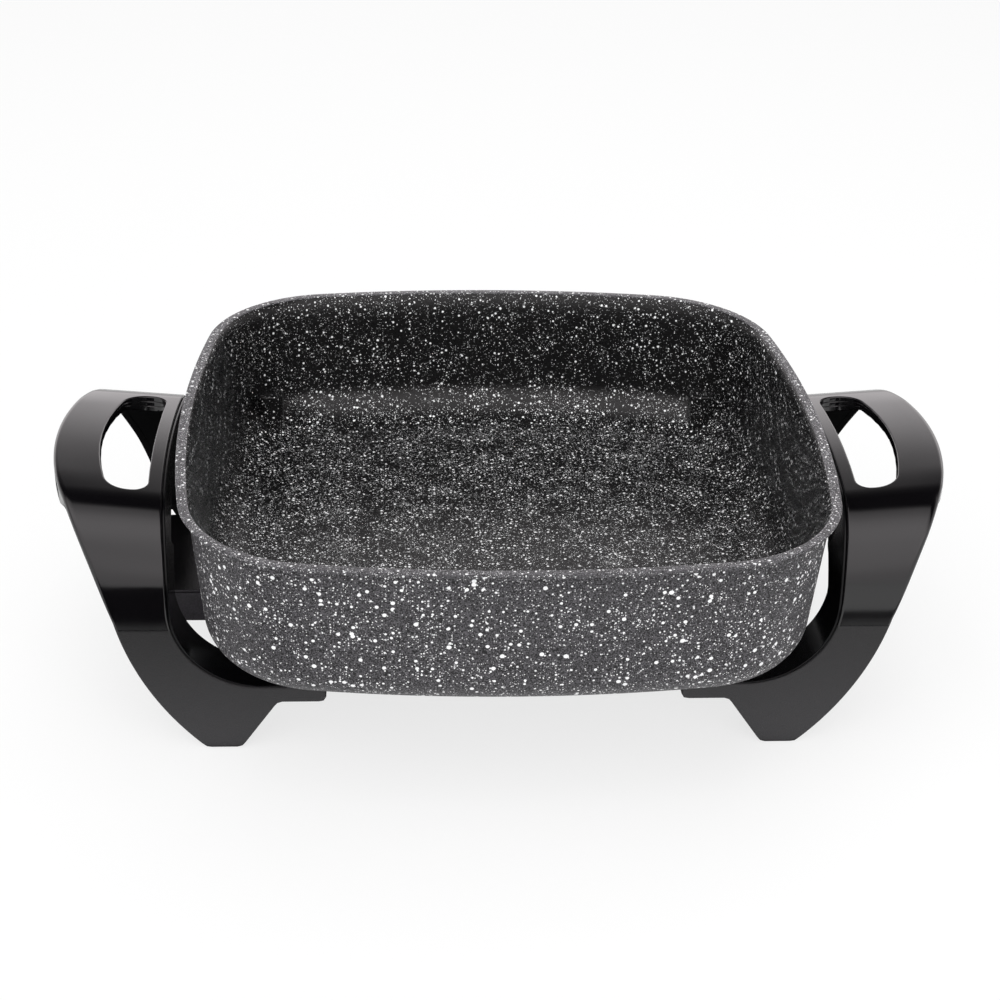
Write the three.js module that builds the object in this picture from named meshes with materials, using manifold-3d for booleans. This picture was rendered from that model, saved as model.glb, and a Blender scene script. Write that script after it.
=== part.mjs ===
// Electric skillet: a deep square die-cast pan on two arched handle-and-leg mouldings, with the heating
// element, its terminals and the guarded socket for a plug-in temperature control below.
// Millimetres, +Z up, +X to the right, -Y to the front. The origin is on the table, under the pan's centre.

import * as THREE from 'three';
import { mergeVertices } from 'three/addons/utils/BufferGeometryUtils.js';
import Module from 'manifold-3d';

const wasm = await Module();
wasm.setup();

// Fits and drawing aids
const seatGap = 0.3; // left between two pieces that touch
const screwFit = 0.4; // how much wider a screw hole is than its screw
const lap = 1; // how far two joined shapes run into each other
const cutOverrun = 2; // how far a cut runs past the face that it opens

// Pan
const panWidth = 314; // across the lip, left to right
const panDepth = 314; // across the lip, front to rear
const panHeight = 78;
const panUndersideHeight = 62.5; // above the table
const panBowRadius = 665; // the slow outward curve of each side
const panCornerRadius = 67;
const panWall = 3;
const panBase = 7.5;
const panWallTaper = THREE.MathUtils.degToRad(5.2);
const panBottomRadius = 21; // outside, between wall and base
const panFloorRadius = 22; // inside, between wall and floor
const lipWidth = 4.6;
const lipOverhang = 4; // how far the lip stands out from the wall
const lipThickness = 1.6;
const lipEdgeRadius = 0.8;
const lipRootDrop = 4.5; // from the rim down to where the lip meets the wall

// Cast posts for a rack, in the pan's inside corners
const postWidth = 15;
const postHeight = 24;
const postCornerRadius = 5;
const postFromRimEdge = 35.5; // from the lip's outer edge to the post's middle

// Cast bosses for the handle screws
const bossDiameter = 18;

// Handle and leg mouldings
const handleGap = 6; // from the lip to the liner
const handleReach = 60.8; // from the lip to the grip's outer edge
const handleSpan = 168; // from the front face to the rear face
const crownBelowRim = 14.5;
const crownRise = 4.5; // how far the grip climbs from the pan to its outer edge
const crownArchRadius = 600; // the grip's slow rise to its middle, from front to rear
const archBendRadius = 30; // where the grip turns down
const archBendEnd = THREE.MathUtils.degToRad(60);
const legSweepRadius = 75; // the slower curve from there into the leg
const crownOutlineRadius = 142; // seen from above
const innerBowRadius = 900; // the liner follows the pan's side
const shellWall = 4;
const outerFlangeWall = 3.5;
const innerFlangeWall = 3;
const flangeDepth = 10;
const legDepth = 25;
const legTopReach = 29; // from the lip to the leg's outer edge, where the bend ends
const legOutlineRadius = 200;
const footInset = 13.5; // from the lip inward to the foot's outer corner
const footWidth = 17;
const footCornerRadius = 4;
const footSlopeWidth = 18; // how far the foot's inner face leans
const footWall = 3;
const armEndInset = 71;
const armUnderside = 28; // above the table
const armTop = 35.5; // above the table
const armCornerRadius = 3;
const legBendRadius = 42;
const legRibWall = 2.5;
const legRibHeightShares = [0.3, 0.68]; // of the way from the arm to the bend

// Liners
const linerWall = 3;
const linerRecess = 0.8; // behind the shell's face
const linerSeam = 0.6; // between liner and shell

// Finger holes
const fingerHoleLength = 101;
const fingerHoleInnerStrip = 7.5; // from the liner's pan side to the hole
const fingerHoleOuterStrip = 22;
const fingerHoleOutlineRadius = 150;
const fingerHoleInnerCorner = 7;
const fingerHoleOuterCorner = 13;
const collarWall = 2.2;
const collarDepth = 8;

// Handle screws and washers
const handleScrewDiameter = 4.6;
const handleScrewHeadDiameter = 9;
const handleScrewHeadHeight = 3;
const handleScrewGrip = 17; // length of thread in the boss
const washerDiameter = 11;
const washerThickness = 1.2;

// Foot pads
const padWidth = 8;
const padLength = 18;
const padThickness = 2.6;
const padProud = 0.8;
const padCornerRadius = 3;

// Heating element under the pan
const castingWidth = 14;
const castingHeight = 15;
const castingCornerRadius = 3.5;
const elementCornerRadius = 35;
const leadBendRadius = 20;
const sheathDiameter = 8;
const sheathWall = 0.9;
const elementClearance = 2; // from the casting to the screw bosses
const terminalSpacing = 30;
const sheathPastCasting = 2;
const coreShortOfSheath = 9;

// Terminals and the sensor's sleeve
const terminalDiameter = 5;
const terminalLength = 34;
const terminalTipRadius = 1.2;
const sealDiameter = 8;
const sealLength = 9;
const sleeveDiameter = 8;
const sleeveBore = 6.4;
const sleeveLength = 60;
const sleevePastWall = 2;

// Socket guard
const guardWidth = 76;
const guardHeight = 17;
const guardWall = 3;
const guardBackInset = 31; // from the lip inward to the face behind the back wall
const guardReach = 16; // past the lip
const guardCornerRadius = 4;
const guardEarLength = 16;
const guardScrewDiameter = 3.6;
const guardScrewHeadDiameter = 7;
const guardScrewHeadHeight = 2.4;
const guardScrewGrip = 4.5;

// Mesh fineness
const bowSegments = 3;
const cornerSegments = 6;
const filletSegments = 6;
const bendSegments = 6;
const sweepSegments = 4;
const crownSegments = 5; // from its middle to each end
const outlineSegments = 8;
const roundSides = 20;
const elementBendSegments = 5;
const tubeSides = 8;

// Levels and places that follow from the sizes above
const rimZ = panUndersideHeight + panHeight;
const floorZ = panUndersideHeight + panBase;
const crownZ = rimZ - crownBelowRim;
const halfSpan = handleSpan / 2;
const bendReach = archBendRadius * Math.sin(archBendEnd) + legSweepRadius * (1 - Math.sin(archBendEnd));
const halfCrown = (halfSpan - bendReach) / (1 - archBendRadius / crownArchRadius);
const crownTurn = Math.asin(halfCrown / crownArchRadius);
const crownEndZ = crownZ - crownArchRadius * (1 - Math.cos(crownTurn));
const sweepTopZ = crownEndZ - archBendRadius * (Math.cos(crownTurn) - Math.cos(archBendEnd));
const legTopZ = sweepTopZ - legSweepRadius * Math.cos(archBendEnd);
const lipX = panWidth / 2;
const gripX = lipX + handleReach;
const linerX = lipX + handleGap;
const armEndX = lipX - armEndInset;
const padX = lipX - footInset - footWidth / 2;
const legScrewX = armEndX + bossDiameter / 2;
const legScrewY = halfSpan - legDepth / 2;
const elementAxisZ = panUndersideHeight - seatGap - castingHeight / 2;
const elementHalfLoop = armEndX - castingWidth / 2 - elementClearance;
const guardBackX = lipX - guardBackInset;
const guardTopZ = panUndersideHeight - seatGap;
const leadEndX = guardBackX - sheathPastCasting - elementClearance;

const skillet = new THREE.Group();

// Materials

const granitePan = new THREE.MeshStandardMaterial({ color: 0x47464b, roughness: 0.55, metalness: 0.1 });
const castAluminium = new THREE.MeshStandardMaterial({ color: 0x8e9094, roughness: 0.5, metalness: 0.9 });
const steelTube = new THREE.MeshStandardMaterial({ color: 0x6f6b66, roughness: 0.4, metalness: 1 });
const magnesia = new THREE.MeshStandardMaterial({ color: 0xdedbd2, roughness: 0.95, metalness: 0 });
const nickelPin = new THREE.MeshStandardMaterial({ color: 0xc9c6bf, roughness: 0.25, metalness: 1 });
const ceramic = new THREE.MeshStandardMaterial({ color: 0xece7da, roughness: 0.7, metalness: 0 });
const blackMoulding = new THREE.MeshStandardMaterial({ color: 0x171618, roughness: 0.25, metalness: 0 });
const blackLiner = new THREE.MeshStandardMaterial({ color: 0x0b0b0d, roughness: 0.35, metalness: 0 });
const guardMoulding = new THREE.MeshStandardMaterial({ color: 0x2b2a2d, roughness: 0.6, metalness: 0 });
const zincScrew = new THREE.MeshStandardMaterial({ color: 0xa9abad, roughness: 0.35, metalness: 1 });
const blackRubber = new THREE.MeshStandardMaterial({ color: 0x1b1b1b, roughness: 0.9, metalness: 0 });

// Geometry helpers

function solidOf(geometry) {
  const bare = geometry.clone();
  bare.deleteAttribute('normal');
  bare.deleteAttribute('uv');
  const merged = mergeVertices(bare);
  return new wasm.Manifold(new wasm.Mesh({
    numProp: 3,
    vertProperties: new Float32Array(merged.attributes.position.array),
    triVerts: new Uint32Array(merged.index.array),
  }));
}

function geometryOf(solid) {
  const { vertProperties, triVerts } = solid.getMesh();
  const geometry = new THREE.BufferGeometry();
  geometry.setAttribute('position', new THREE.BufferAttribute(vertProperties, 3));
  geometry.setIndex(new THREE.BufferAttribute(triVerts, 1));
  geometry.computeVertexNormals();
  return geometry;
}

function addPiece(name, shape, material, parent = skillet) {
  const geometry = shape.isBufferGeometry ? shape : geometryOf(shape);
  const mesh = new THREE.Mesh(geometry, material);
  mesh.name = name;
  parent.add(mesh);
  return mesh;
}

function joinAll(solids) {
  return solids.reduce((whole, solid) => whole.add(solid));
}

function arcPoints(centreX, centreY, radius, startAngle, endAngle, segments) {
  return Array.from({ length: segments + 1 }, (_, i) => {
    const angle = THREE.MathUtils.lerp(startAngle, endAngle, i / segments);
    return new THREE.Vector2(centreX + radius * Math.cos(angle), centreY + radius * Math.sin(angle));
  });
}

// Rounds the corners of a polygon whose points are [x, y, radius].
function roundedOutline(corners, segments = 4) {
  const points = [];
  corners.forEach(([x, y, radius = 0], i) => {
    const corner = new THREE.Vector2(x, y);
    if (radius === 0) {
      points.push(corner);
      return;
    }
    const [beforeX, beforeY] = corners[(i + corners.length - 1) % corners.length];
    const [afterX, afterY] = corners[(i + 1) % corners.length];
    const back = new THREE.Vector2(beforeX, beforeY).sub(corner).normalize();
    const ahead = new THREE.Vector2(afterX, afterY).sub(corner).normalize();
    const halfAngle = Math.acos(THREE.MathUtils.clamp(back.dot(ahead), -1, 1)) / 2;
    const middle = back.clone().add(ahead).normalize();
    const centre = corner.clone().addScaledVector(middle, radius / Math.sin(halfAngle));
    const start = corner.clone().addScaledVector(back, radius / Math.tan(halfAngle)).sub(centre);
    const end = corner.clone().addScaledVector(ahead, radius / Math.tan(halfAngle)).sub(centre);
    const turn = Math.atan2(start.cross(end), start.dot(end));
    for (let k = 0; k <= segments; k += 1) {
      const angle = (turn * k) / segments;
      points.push(start.clone().rotateAround(new THREE.Vector2(), angle).add(centre));
    }
  });
  return points;
}

// A prism that stands up from the level bottom to the level top.
function uprightPrism(outline, bottom, top) {
  const shape = new THREE.Shape(outline);
  const geometry = new THREE.ExtrudeGeometry(shape, { depth: top - bottom, bevelEnabled: false });
  geometry.translate(0, 0, bottom);
  return solidOf(geometry);
}

// A prism whose outline is drawn in x and z, and that runs along y.
function crosswisePrism(outline, nearY, farY) {
  const shape = new THREE.Shape(outline);
  const geometry = new THREE.ExtrudeGeometry(shape, { depth: farY - nearY, bevelEnabled: false });
  geometry.rotateX(Math.PI / 2);
  geometry.translate(0, farY, 0);
  return solidOf(geometry);
}

function block(lowX, highX, lowY, highY, lowZ, highZ) {
  const geometry = new THREE.BoxGeometry(highX - lowX, highY - lowY, highZ - lowZ);
  geometry.translate((lowX + highX) / 2, (lowY + highY) / 2, (lowZ + highZ) / 2);
  return solidOf(geometry);
}

function uprightCylinder(x, y, diameter, bottom, top) {
  const geometry = new THREE.CylinderGeometry(diameter / 2, diameter / 2, top - bottom, roundSides);
  geometry.rotateX(Math.PI / 2);
  geometry.translate(x, y, (bottom + top) / 2);
  return solidOf(geometry);
}

function cylinderAlongX(lowX, highX, y, z, diameter) {
  const geometry = new THREE.CylinderGeometry(diameter / 2, diameter / 2, highX - lowX, roundSides);
  geometry.rotateZ(Math.PI / 2);
  geometry.translate((lowX + highX) / 2, y, z);
  return solidOf(geometry);
}

// Joins rings of points into one skin and closes both ends with flat caps.
function loftRings(rings) {
  const count = rings[0].length;
  const positions = rings.flat().flatMap((point) => [point.x, point.y, point.z]);
  const indices = [];
  for (let r = 0; r < rings.length - 1; r += 1) {
    for (let i = 0; i < count; i += 1) {
      const a = r * count + i;
      const b = r * count + ((i + 1) % count);
      indices.push(a, b, a + count, b, b + count, a + count);
    }
  }
  const first = 0;
  const last = (rings.length - 1) * count;
  for (const [start, ring, flip] of [[first, rings[0], true], [last, rings[rings.length - 1], false]]) {
    for (const [i, j, k] of capTriangles(ring, flip)) {
      indices.push(start + i, start + j, start + k);
    }
  }
  const geometry = new THREE.BufferGeometry();
  geometry.setAttribute('position', new THREE.Float32BufferAttribute(positions, 3));
  geometry.setIndex(indices);
  return geometry;
}

// Cuts a flat ring into triangles that keep the ring's own turning sense, or its opposite.
function capTriangles(ring, flip) {
  const normal = new THREE.Vector3();
  ring.forEach((point, i) => {
    const next = ring[(i + 1) % ring.length];
    normal.add(new THREE.Vector3().crossVectors(point, next));
  });
  const across = ring[1].clone().sub(ring[0]).normalize();
  const along = new THREE.Vector3().crossVectors(normal.normalize(), across);
  const flat = ring.map((point) => new THREE.Vector2(point.dot(across), point.dot(along)));
  const triangles = THREE.ShapeUtils.triangulateShape(flat, []);
  return triangles.map(([i, j, k]) => (flip ? [i, k, j] : [i, j, k]));
}

// Pan

// The pan's plan outline: four slow arcs joined by round corners, set in from the lip's edge.
function panOutline(inset) {
  const sideCentreX = panWidth / 2 - panBowRadius;
  const endCentreY = panDepth / 2 - panBowRadius;
  const reach = panBowRadius - panCornerRadius;
  const apart = Math.hypot(sideCentreX, endCentreY);
  const rise = Math.sqrt(reach * reach - (apart * apart) / 4);
  const cornerX = sideCentreX / 2 + (rise * -endCentreY) / apart;
  const cornerY = endCentreY / 2 + (rise * -sideCentreX) / apart;
  const sideAngle = Math.atan2(cornerY, cornerX - sideCentreX);
  const endAngle = Math.atan2(cornerY - endCentreY, cornerX);
  const quarterTurn = Math.PI / 2;
  const bow = panBowRadius - inset;
  const quarter = [
    ...arcPoints(sideCentreX, 0, bow, 0, sideAngle, bowSegments),
    ...arcPoints(cornerX, cornerY, panCornerRadius - inset, sideAngle, endAngle, cornerSegments).slice(1),
    ...arcPoints(0, endCentreY, bow, endAngle, quarterTurn, bowSegments).slice(1),
  ];
  const mirrored = (signX, signY) => quarter.map((p) => new THREE.Vector2(p.x * signX, p.y * signY));
  return [
    ...quarter,
    ...mirrored(-1, 1).reverse().slice(1),
    ...mirrored(-1, -1).slice(1),
    ...mirrored(1, -1).reverse().slice(1, -1),
  ];
}

function panRing(inset, z) {
  return panOutline(inset).map((point) => new THREE.Vector3(point.x, point.y, z));
}

// Inset and height of a wall, with a round foot that runs out level at the bottom.
function wallProfile(topInset, topZ, bottomZ, footRadius) {
  const tangentZ = bottomZ + footRadius * (1 - Math.sin(panWallTaper));
  const tangentInset = topInset + (topZ - tangentZ) * Math.tan(panWallTaper);
  const centreInset = tangentInset + footRadius * Math.cos(panWallTaper);
  const steps = arcPoints(0, 0, footRadius, panWallTaper, Math.PI / 2, filletSegments);
  const foot = steps.map((step) => [centreInset - step.x, bottomZ + footRadius - step.y]);
  return [[topInset, topZ], ...foot];
}

const panRootZ = rimZ - lipRootDrop;
const panRootInset = lipOverhang + lipRootDrop * Math.tan(panWallTaper);
const panOuterProfile = wallProfile(panRootInset, panRootZ, panUndersideHeight, panBottomRadius).reverse();

function loftPan(profile) {
  return solidOf(loftRings(profile.map(([inset, z]) => panRing(inset, z))));
}

function makePanShell() {
  const inner = wallProfile(panRootInset + panWall, panRootZ, floorZ, panFloorRadius);
  const lip = [
    [lipEdgeRadius, rimZ - lipThickness - lipEdgeRadius],
    [0, rimZ - lipThickness],
    [0, rimZ - lipEdgeRadius],
    [lipEdgeRadius, rimZ],
    [lipWidth, rimZ],
  ];
  return loftPan([...panOuterProfile, ...lip, ...inner]);
}

// A square post in a corner of the floor. It stops where it would come through the wall.
function makePost(signX, signY) {
  const middleX = signX * (panWidth / 2 - postFromRimEdge);
  const middleY = signY * (panDepth / 2 - postFromRimEdge);
  const half = postWidth / 2;
  const outline = roundedOutline([
    [middleX - half, middleY - half, postCornerRadius],
    [middleX + half, middleY - half, postCornerRadius],
    [middleX + half, middleY + half, postCornerRadius],
    [middleX - half, middleY + half, postCornerRadius],
  ], 3);
  return uprightPrism(outline, floorZ - lap, floorZ + postHeight).intersect(loftPan(panOuterProfile));
}

const ends = [-1, 1];
const fourCorners = [[-1, -1], [1, -1], [1, 1], [-1, 1]];
const bossBottomZ = armTop + seatGap;
const handleScrewHole = handleScrewDiameter + screwFit;
const guardEarInnerY = terminalSpacing / 2 + castingWidth / 2 + elementClearance;
const guardScrewX = -(guardBackX - guardEarLength / 2);
const guardScrewY = (guardEarInnerY + guardWidth / 2) / 2;
const guardScrewHole = guardScrewDiameter + screwFit;

function makePan() {
  let pan = makePanShell();
  for (const [signX, signY] of fourCorners) {
    const x = signX * legScrewX;
    const y = signY * legScrewY;
    const holeTop = bossBottomZ + handleScrewGrip + screwFit;
    pan = pan.add(makePost(signX, signY));
    pan = pan.add(uprightCylinder(x, y, bossDiameter, bossBottomZ, panUndersideHeight + lap));
    pan = pan.subtract(uprightCylinder(x, y, handleScrewHole, bossBottomZ - cutOverrun, holeTop));
  }
  for (const side of ends) {
    const holeTop = panUndersideHeight + guardScrewGrip + screwFit;
    const holeBottom = panUndersideHeight - cutOverrun;
    pan = pan.subtract(uprightCylinder(guardScrewX, side * guardScrewY, guardScrewHole, holeBottom, holeTop));
  }
  return pan;
}

addPiece('pan_body', makePan(), granitePan);

// Handle shells

function bowInset(radius, offset) {
  return radius - Math.sqrt(radius * radius - offset * offset);
}

const bendLength = archBendRadius * (archBendEnd - crownTurn) + legSweepRadius * (Math.PI / 2 - archBendEnd);

// Places along the arch from the front leg over the crown to the rear leg. Each has the point on the outer
// face, the direction out of it and the distance from the middle of the crown.
function archStations() {
  const quarterTurn = Math.PI / 2;
  const station = (y, z, angle, along) => ({ y, z, outY: Math.sin(angle), outZ: Math.cos(angle), along });
  const rear = [];
  for (let i = 0; i <= crownSegments; i += 1) {
    const angle = (crownTurn * i) / crownSegments;
    const y = crownArchRadius * Math.sin(angle);
    rear.push(station(y, crownZ - crownArchRadius * (1 - Math.cos(angle)), angle, y));
  }
  for (let i = 1; i <= bendSegments; i += 1) {
    const angle = THREE.MathUtils.lerp(crownTurn, archBendEnd, i / bendSegments);
    const y = halfCrown + archBendRadius * (Math.sin(angle) - Math.sin(crownTurn));
    const z = crownEndZ - archBendRadius * (Math.cos(crownTurn) - Math.cos(angle));
    rear.push(station(y, z, angle, halfCrown + archBendRadius * (angle - crownTurn)));
  }
  for (let i = 1; i <= sweepSegments; i += 1) {
    const angle = THREE.MathUtils.lerp(archBendEnd, quarterTurn, i / sweepSegments);
    const y = halfSpan - legSweepRadius * (1 - Math.sin(angle));
    const z = legTopZ + legSweepRadius * Math.cos(angle);
    rear.push(station(y, z, angle, halfCrown + bendLength - legSweepRadius * (quarterTurn - angle)));
  }
  rear.push(station(halfSpan, legTopZ - lap, quarterTurn, halfCrown + bendLength + lap));
  const front = rear.slice(1).map((place) => ({ ...place, y: -place.y, outY: -place.outY }));
  return [...front.reverse(), ...rear];
}

// The leg's outer edge in the front view: one arc from the bend down to the foot.
function legOutline() {
  const top = new THREE.Vector2(lipX + legTopReach, legTopZ);
  const bottom = new THREE.Vector2(lipX - footInset, padProud);
  const chord = top.clone().sub(bottom);
  const chordAngle = Math.atan2(chord.x, chord.y);
  const halfTurn = Math.asin(chord.length() / 2 / legOutlineRadius);
  const startAngle = chordAngle - halfTurn;
  const centre = new THREE.Vector2(
    top.x - legOutlineRadius * Math.cos(startAngle),
    top.y + legOutlineRadius * Math.sin(startAngle),
  );
  return { startAngle, endAngle: chordAngle + halfTurn, centre };
}

// The grip's outer edge along the arch: an arc over the crown, then a smooth run down to the leg.
function outerEdgeAt(station) {
  if (station.along <= halfCrown) {
    return gripX - bowInset(crownOutlineRadius, station.along);
  }
  const startX = gripX - bowInset(crownOutlineRadius, halfCrown);
  const startSlope = halfCrown / Math.sqrt(crownOutlineRadius ** 2 - halfCrown ** 2);
  const endX = lipX + legTopReach;
  const endSlope = Math.tan(legOutline().startAngle);
  const third = bendLength / 3;
  const curve = new THREE.CubicBezierCurve(
    new THREE.Vector2(0, startX),
    new THREE.Vector2(third, startX - startSlope * third),
    new THREE.Vector2(bendLength - third, endX + endSlope * third),
    new THREE.Vector2(bendLength, endX),
  );
  return curve.getPoint(Math.min((station.along - halfCrown) / bendLength, 1)).y;
}

function innerEdgeAt(station) {
  const belowBendTop = Math.max(armTop + legBendRadius - station.z, 0);
  return linerX - bowInset(innerBowRadius, station.y) - bowInset(legBendRadius, belowBendTop);
}

// Runs a section along the arch. Its corners are [x, depth below the outer face].
function archSweep(sectionAt) {
  const rings = archStations().map((station) => sectionAt(station).map(([x, depth]) => {
    return new THREE.Vector3(x, station.y - depth * station.outY, station.z - depth * station.outZ);
  }));
  return solidOf(loftRings(rings));
}

const shellInset = linerWall + linerSeam;

function crownRiseAt(station) {
  return crownRise * (1 - THREE.MathUtils.smoothstep(station.along, halfCrown, halfCrown + bendLength));
}

function shellSection(station) {
  const inner = innerEdgeAt(station) + shellInset;
  const outer = outerEdgeAt(station);
  const rise = crownRiseAt(station);
  return [
    [inner, 0],
    [outer, -rise],
    [outer, flangeDepth - rise],
    [outer - outerFlangeWall, flangeDepth - rise],
    [outer - outerFlangeWall, shellWall - rise],
    [inner + innerFlangeWall, shellWall],
    [inner + innerFlangeWall, flangeDepth],
    [inner, flangeDepth],
  ];
}

function legOuterArc(inset) {
  const { startAngle, endAngle, centre } = legOutline();
  const radius = legOutlineRadius - inset;
  return arcPoints(centre.x, centre.y, radius, -startAngle, -endAngle, outlineSegments);
}

const legInnerX = linerX - bowInset(innerBowRadius, halfSpan);
const legStartZ = legTopZ + lap;

// The leg's inner edge, set outward by inset: round the bend beside the pan and level along the arm.
function legInnerLine(inset) {
  const centreX = legInnerX - legBendRadius;
  const centreZ = armTop + legBendRadius;
  const startAngle = Math.asin((legStartZ - centreZ) / legBendRadius);
  return [
    ...arcPoints(centreX, centreZ, legBendRadius + inset, startAngle, -Math.PI / 2, outlineSegments),
    new THREE.Vector2(armEndX, armTop - inset),
  ];
}

function toCorners(points) {
  return points.map((point) => [point.x, point.y]);
}

// The whole leg in the front view: sweeping outer edge, foot, sloped step and arm.
function legFaceOutline() {
  const footOuterX = lipX - footInset;
  const footInnerX = footOuterX - footWidth;
  return roundedOutline([
    [lipX + legTopReach, legStartZ],
    ...toCorners(legOuterArc(0).slice(0, -1)),
    [footOuterX, padProud, footCornerRadius],
    [footInnerX, padProud, footCornerRadius],
    [footInnerX - footSlopeWidth, armUnderside, footCornerRadius],
    [armEndX, armUnderside, armCornerRadius],
    ...toCorners(legInnerLine(shellInset).reverse()),
  ]);
}

// The hollow of the foot: the leg's outline kept wall-thick all round, in two pockets with a web between.
function makeFootPockets(nearY, farY) {
  const shifted = (x, z) => legFaceOutline().map((point) => new THREE.Vector2(point.x + x, point.y + z));
  const floor = padThickness + seatGap + footWall - padProud;
  const [first, ...others] = [[-footWall, 0], [footWall, 0], [0, floor]].map(([x, z]) => {
    return crosswisePrism(shifted(x, z), nearY, farY);
  });
  const pocket = others.reduce((rest, other) => rest.intersect(other), first);
  const ceiling = armTop - shellInset - footWall;
  const web = block(padX - footWall / 2, padX + footWall / 2, nearY, farY, 0, armTop);
  return pocket.intersect(block(armEndX, gripX, nearY, farY, 0, ceiling)).subtract(web);
}

// One leg of the shell, at the front for end -1 and at the rear for end 1.
function makeShellLeg(end) {
  const faceY = end * halfSpan;
  const between = (from, to) => [faceY - end * from, faceY - end * to].sort((a, b) => a - b);
  const deepRange = between(0, legDepth);
  const flangeRange = between(0, flangeDepth);
  const whole = crosswisePrism(legFaceOutline(), ...deepRange);
  const face = crosswisePrism(legFaceOutline(), ...between(0, shellWall));
  const base = whole
    .intersect(block(0, gripX, ...deepRange, 0, armTop - shellInset))
    .subtract(makeFootPockets(...between(shellWall, legDepth + cutOverrun)));
  const outerStrip = [
    new THREE.Vector2(lipX + legTopReach - outerFlangeWall, legStartZ + lap),
    new THREE.Vector2(lipX + legTopReach, legStartZ + lap),
    ...legOuterArc(0),
    ...legOuterArc(outerFlangeWall).reverse(),
  ];
  const innerStrip = [...legInnerLine(shellInset), ...legInnerLine(shellInset + innerFlangeWall).reverse()];
  const walls = [outerStrip, innerStrip].map((strip) => crosswisePrism(strip, ...flangeRange));
  const ribs = legRibHeightShares.map((share) => {
    const z = THREE.MathUtils.lerp(armTop, legTopZ, share);
    return block(armEndX, gripX, ...flangeRange, z - legRibWall / 2, z + legRibWall / 2);
  });
  return joinAll([face, base, ...[...walls, ...ribs].map((wall) => wall.intersect(whole))]);
}

function fingerHoleOutline(grow) {
  const half = fingerHoleLength / 2 + grow;
  const innerAt = (y) => linerX - bowInset(innerBowRadius, y) + fingerHoleInnerStrip - grow;
  const outerAt = (y) => gripX - fingerHoleOuterStrip - bowInset(fingerHoleOutlineRadius, y) + grow;
  const shares = [-1, -0.4, 0, 0.4, 1];
  const innerRadius = fingerHoleInnerCorner + grow;
  const outerRadius = fingerHoleOuterCorner + grow;
  const side = (xAt, radius, order) => order.map((share) => {
    const y = share * half;
    return [xAt(y), y, Math.abs(share) === 1 ? radius : 0];
  });
  return roundedOutline([
    ...side(outerAt, outerRadius, shares),
    ...side(innerAt, innerRadius, [...shares].reverse()),
  ], 5);
}

function makeCollar() {
  const band = archSweep((station) => {
    const inner = innerEdgeAt(station) + shellInset;
    const outer = outerEdgeAt(station);
    const rise = crownRiseAt(station);
    const skinMiddle = shellWall / 2;
    return [[inner, skinMiddle], [outer, skinMiddle - rise], [outer, collarDepth - rise], [inner, collarDepth]];
  });
  return band.intersect(uprightPrism(fingerHoleOutline(collarWall), legTopZ, rimZ));
}

function screwHoleThroughArm(end) {
  const bottom = armUnderside - cutOverrun;
  return uprightCylinder(legScrewX, end * legScrewY, handleScrewHole, bottom, armTop + cutOverrun);
}

function padOutline(end, grow) {
  const halfWidth = padWidth / 2 + grow;
  const halfLength = padLength / 2 + grow;
  const y = end * legScrewY;
  return roundedOutline([
    [padX - halfWidth, y - halfLength, padCornerRadius],
    [padX + halfWidth, y - halfLength, padCornerRadius],
    [padX + halfWidth, y + halfLength, padCornerRadius],
    [padX - halfWidth, y + halfLength, padCornerRadius],
  ], 3);
}

function makeHandleShell() {
  let shell = joinAll([archSweep(shellSection), makeCollar(), ...ends.map(makeShellLeg)]);
  shell = shell.subtract(uprightPrism(fingerHoleOutline(0), legTopZ, rimZ));
  for (const end of ends) {
    const recess = uprightPrism(padOutline(end, seatGap), padProud - cutOverrun, padThickness + seatGap);
    shell = shell.subtract(recess).subtract(screwHoleThroughArm(end));
  }
  return shell;
}

// Liners

function makeLiner() {
  const arch = archSweep((station) => {
    const inner = innerEdgeAt(station);
    const outer = inner + linerWall;
    return [[inner, linerRecess], [outer, linerRecess], [outer, legDepth], [inner, legDepth]];
  });
  const strip = [...legInnerLine(0), ...legInnerLine(linerWall).reverse()];
  let liner = arch;
  for (const end of ends) {
    const nearFace = end * (halfSpan - linerRecess);
    const farFace = end * (halfSpan - legDepth);
    const leg = crosswisePrism(strip, Math.min(nearFace, farFace), Math.max(nearFace, farFace));
    liner = liner.add(leg).subtract(screwHoleThroughArm(end));
  }
  return liner;
}

const shellGeometry = geometryOf(makeHandleShell());
const linerGeometry = geometryOf(makeLiner());

// The two handles are one moulding turned round, because its front and rear halves are alike.
for (const [side, turn] of [['right', 0], ['left', Math.PI]]) {
  const handle = new THREE.Group();
  handle.rotation.z = turn;
  addPiece(`${side}_handle_shell`, shellGeometry, blackMoulding, handle);
  addPiece(`${side}_handle_liner`, linerGeometry, blackLiner, handle);
  skillet.add(handle);
}

// Screws, washers and foot pads

// A screw with a domed head at the bottom, drawn upward from the underside of what it holds.
function makeScrew(shankDiameter, headDiameter, headHeight, shankLength) {
  const shank = shankDiameter / 2;
  const head = headDiameter / 2;
  const dome = headHeight / 2;
  const tip = shank / 2;
  const profile = [
    new THREE.Vector2(0, -headHeight),
    new THREE.Vector2(head - dome, -headHeight),
    new THREE.Vector2(head, -dome),
    new THREE.Vector2(head, 0),
    new THREE.Vector2(shank, 0),
    new THREE.Vector2(shank, shankLength - tip),
    new THREE.Vector2(tip, shankLength),
    new THREE.Vector2(0, shankLength),
  ];
  return new THREE.LatheGeometry(profile, roundSides).rotateX(Math.PI / 2);
}

function makeRing(innerRadius, outerRadius, height) {
  const profile = [
    new THREE.Vector2(innerRadius, 0),
    new THREE.Vector2(outerRadius, 0),
    new THREE.Vector2(outerRadius, height),
    new THREE.Vector2(innerRadius, height),
    new THREE.Vector2(innerRadius, 0),
  ];
  return new THREE.LatheGeometry(profile, roundSides).rotateX(Math.PI / 2);
}

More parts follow.
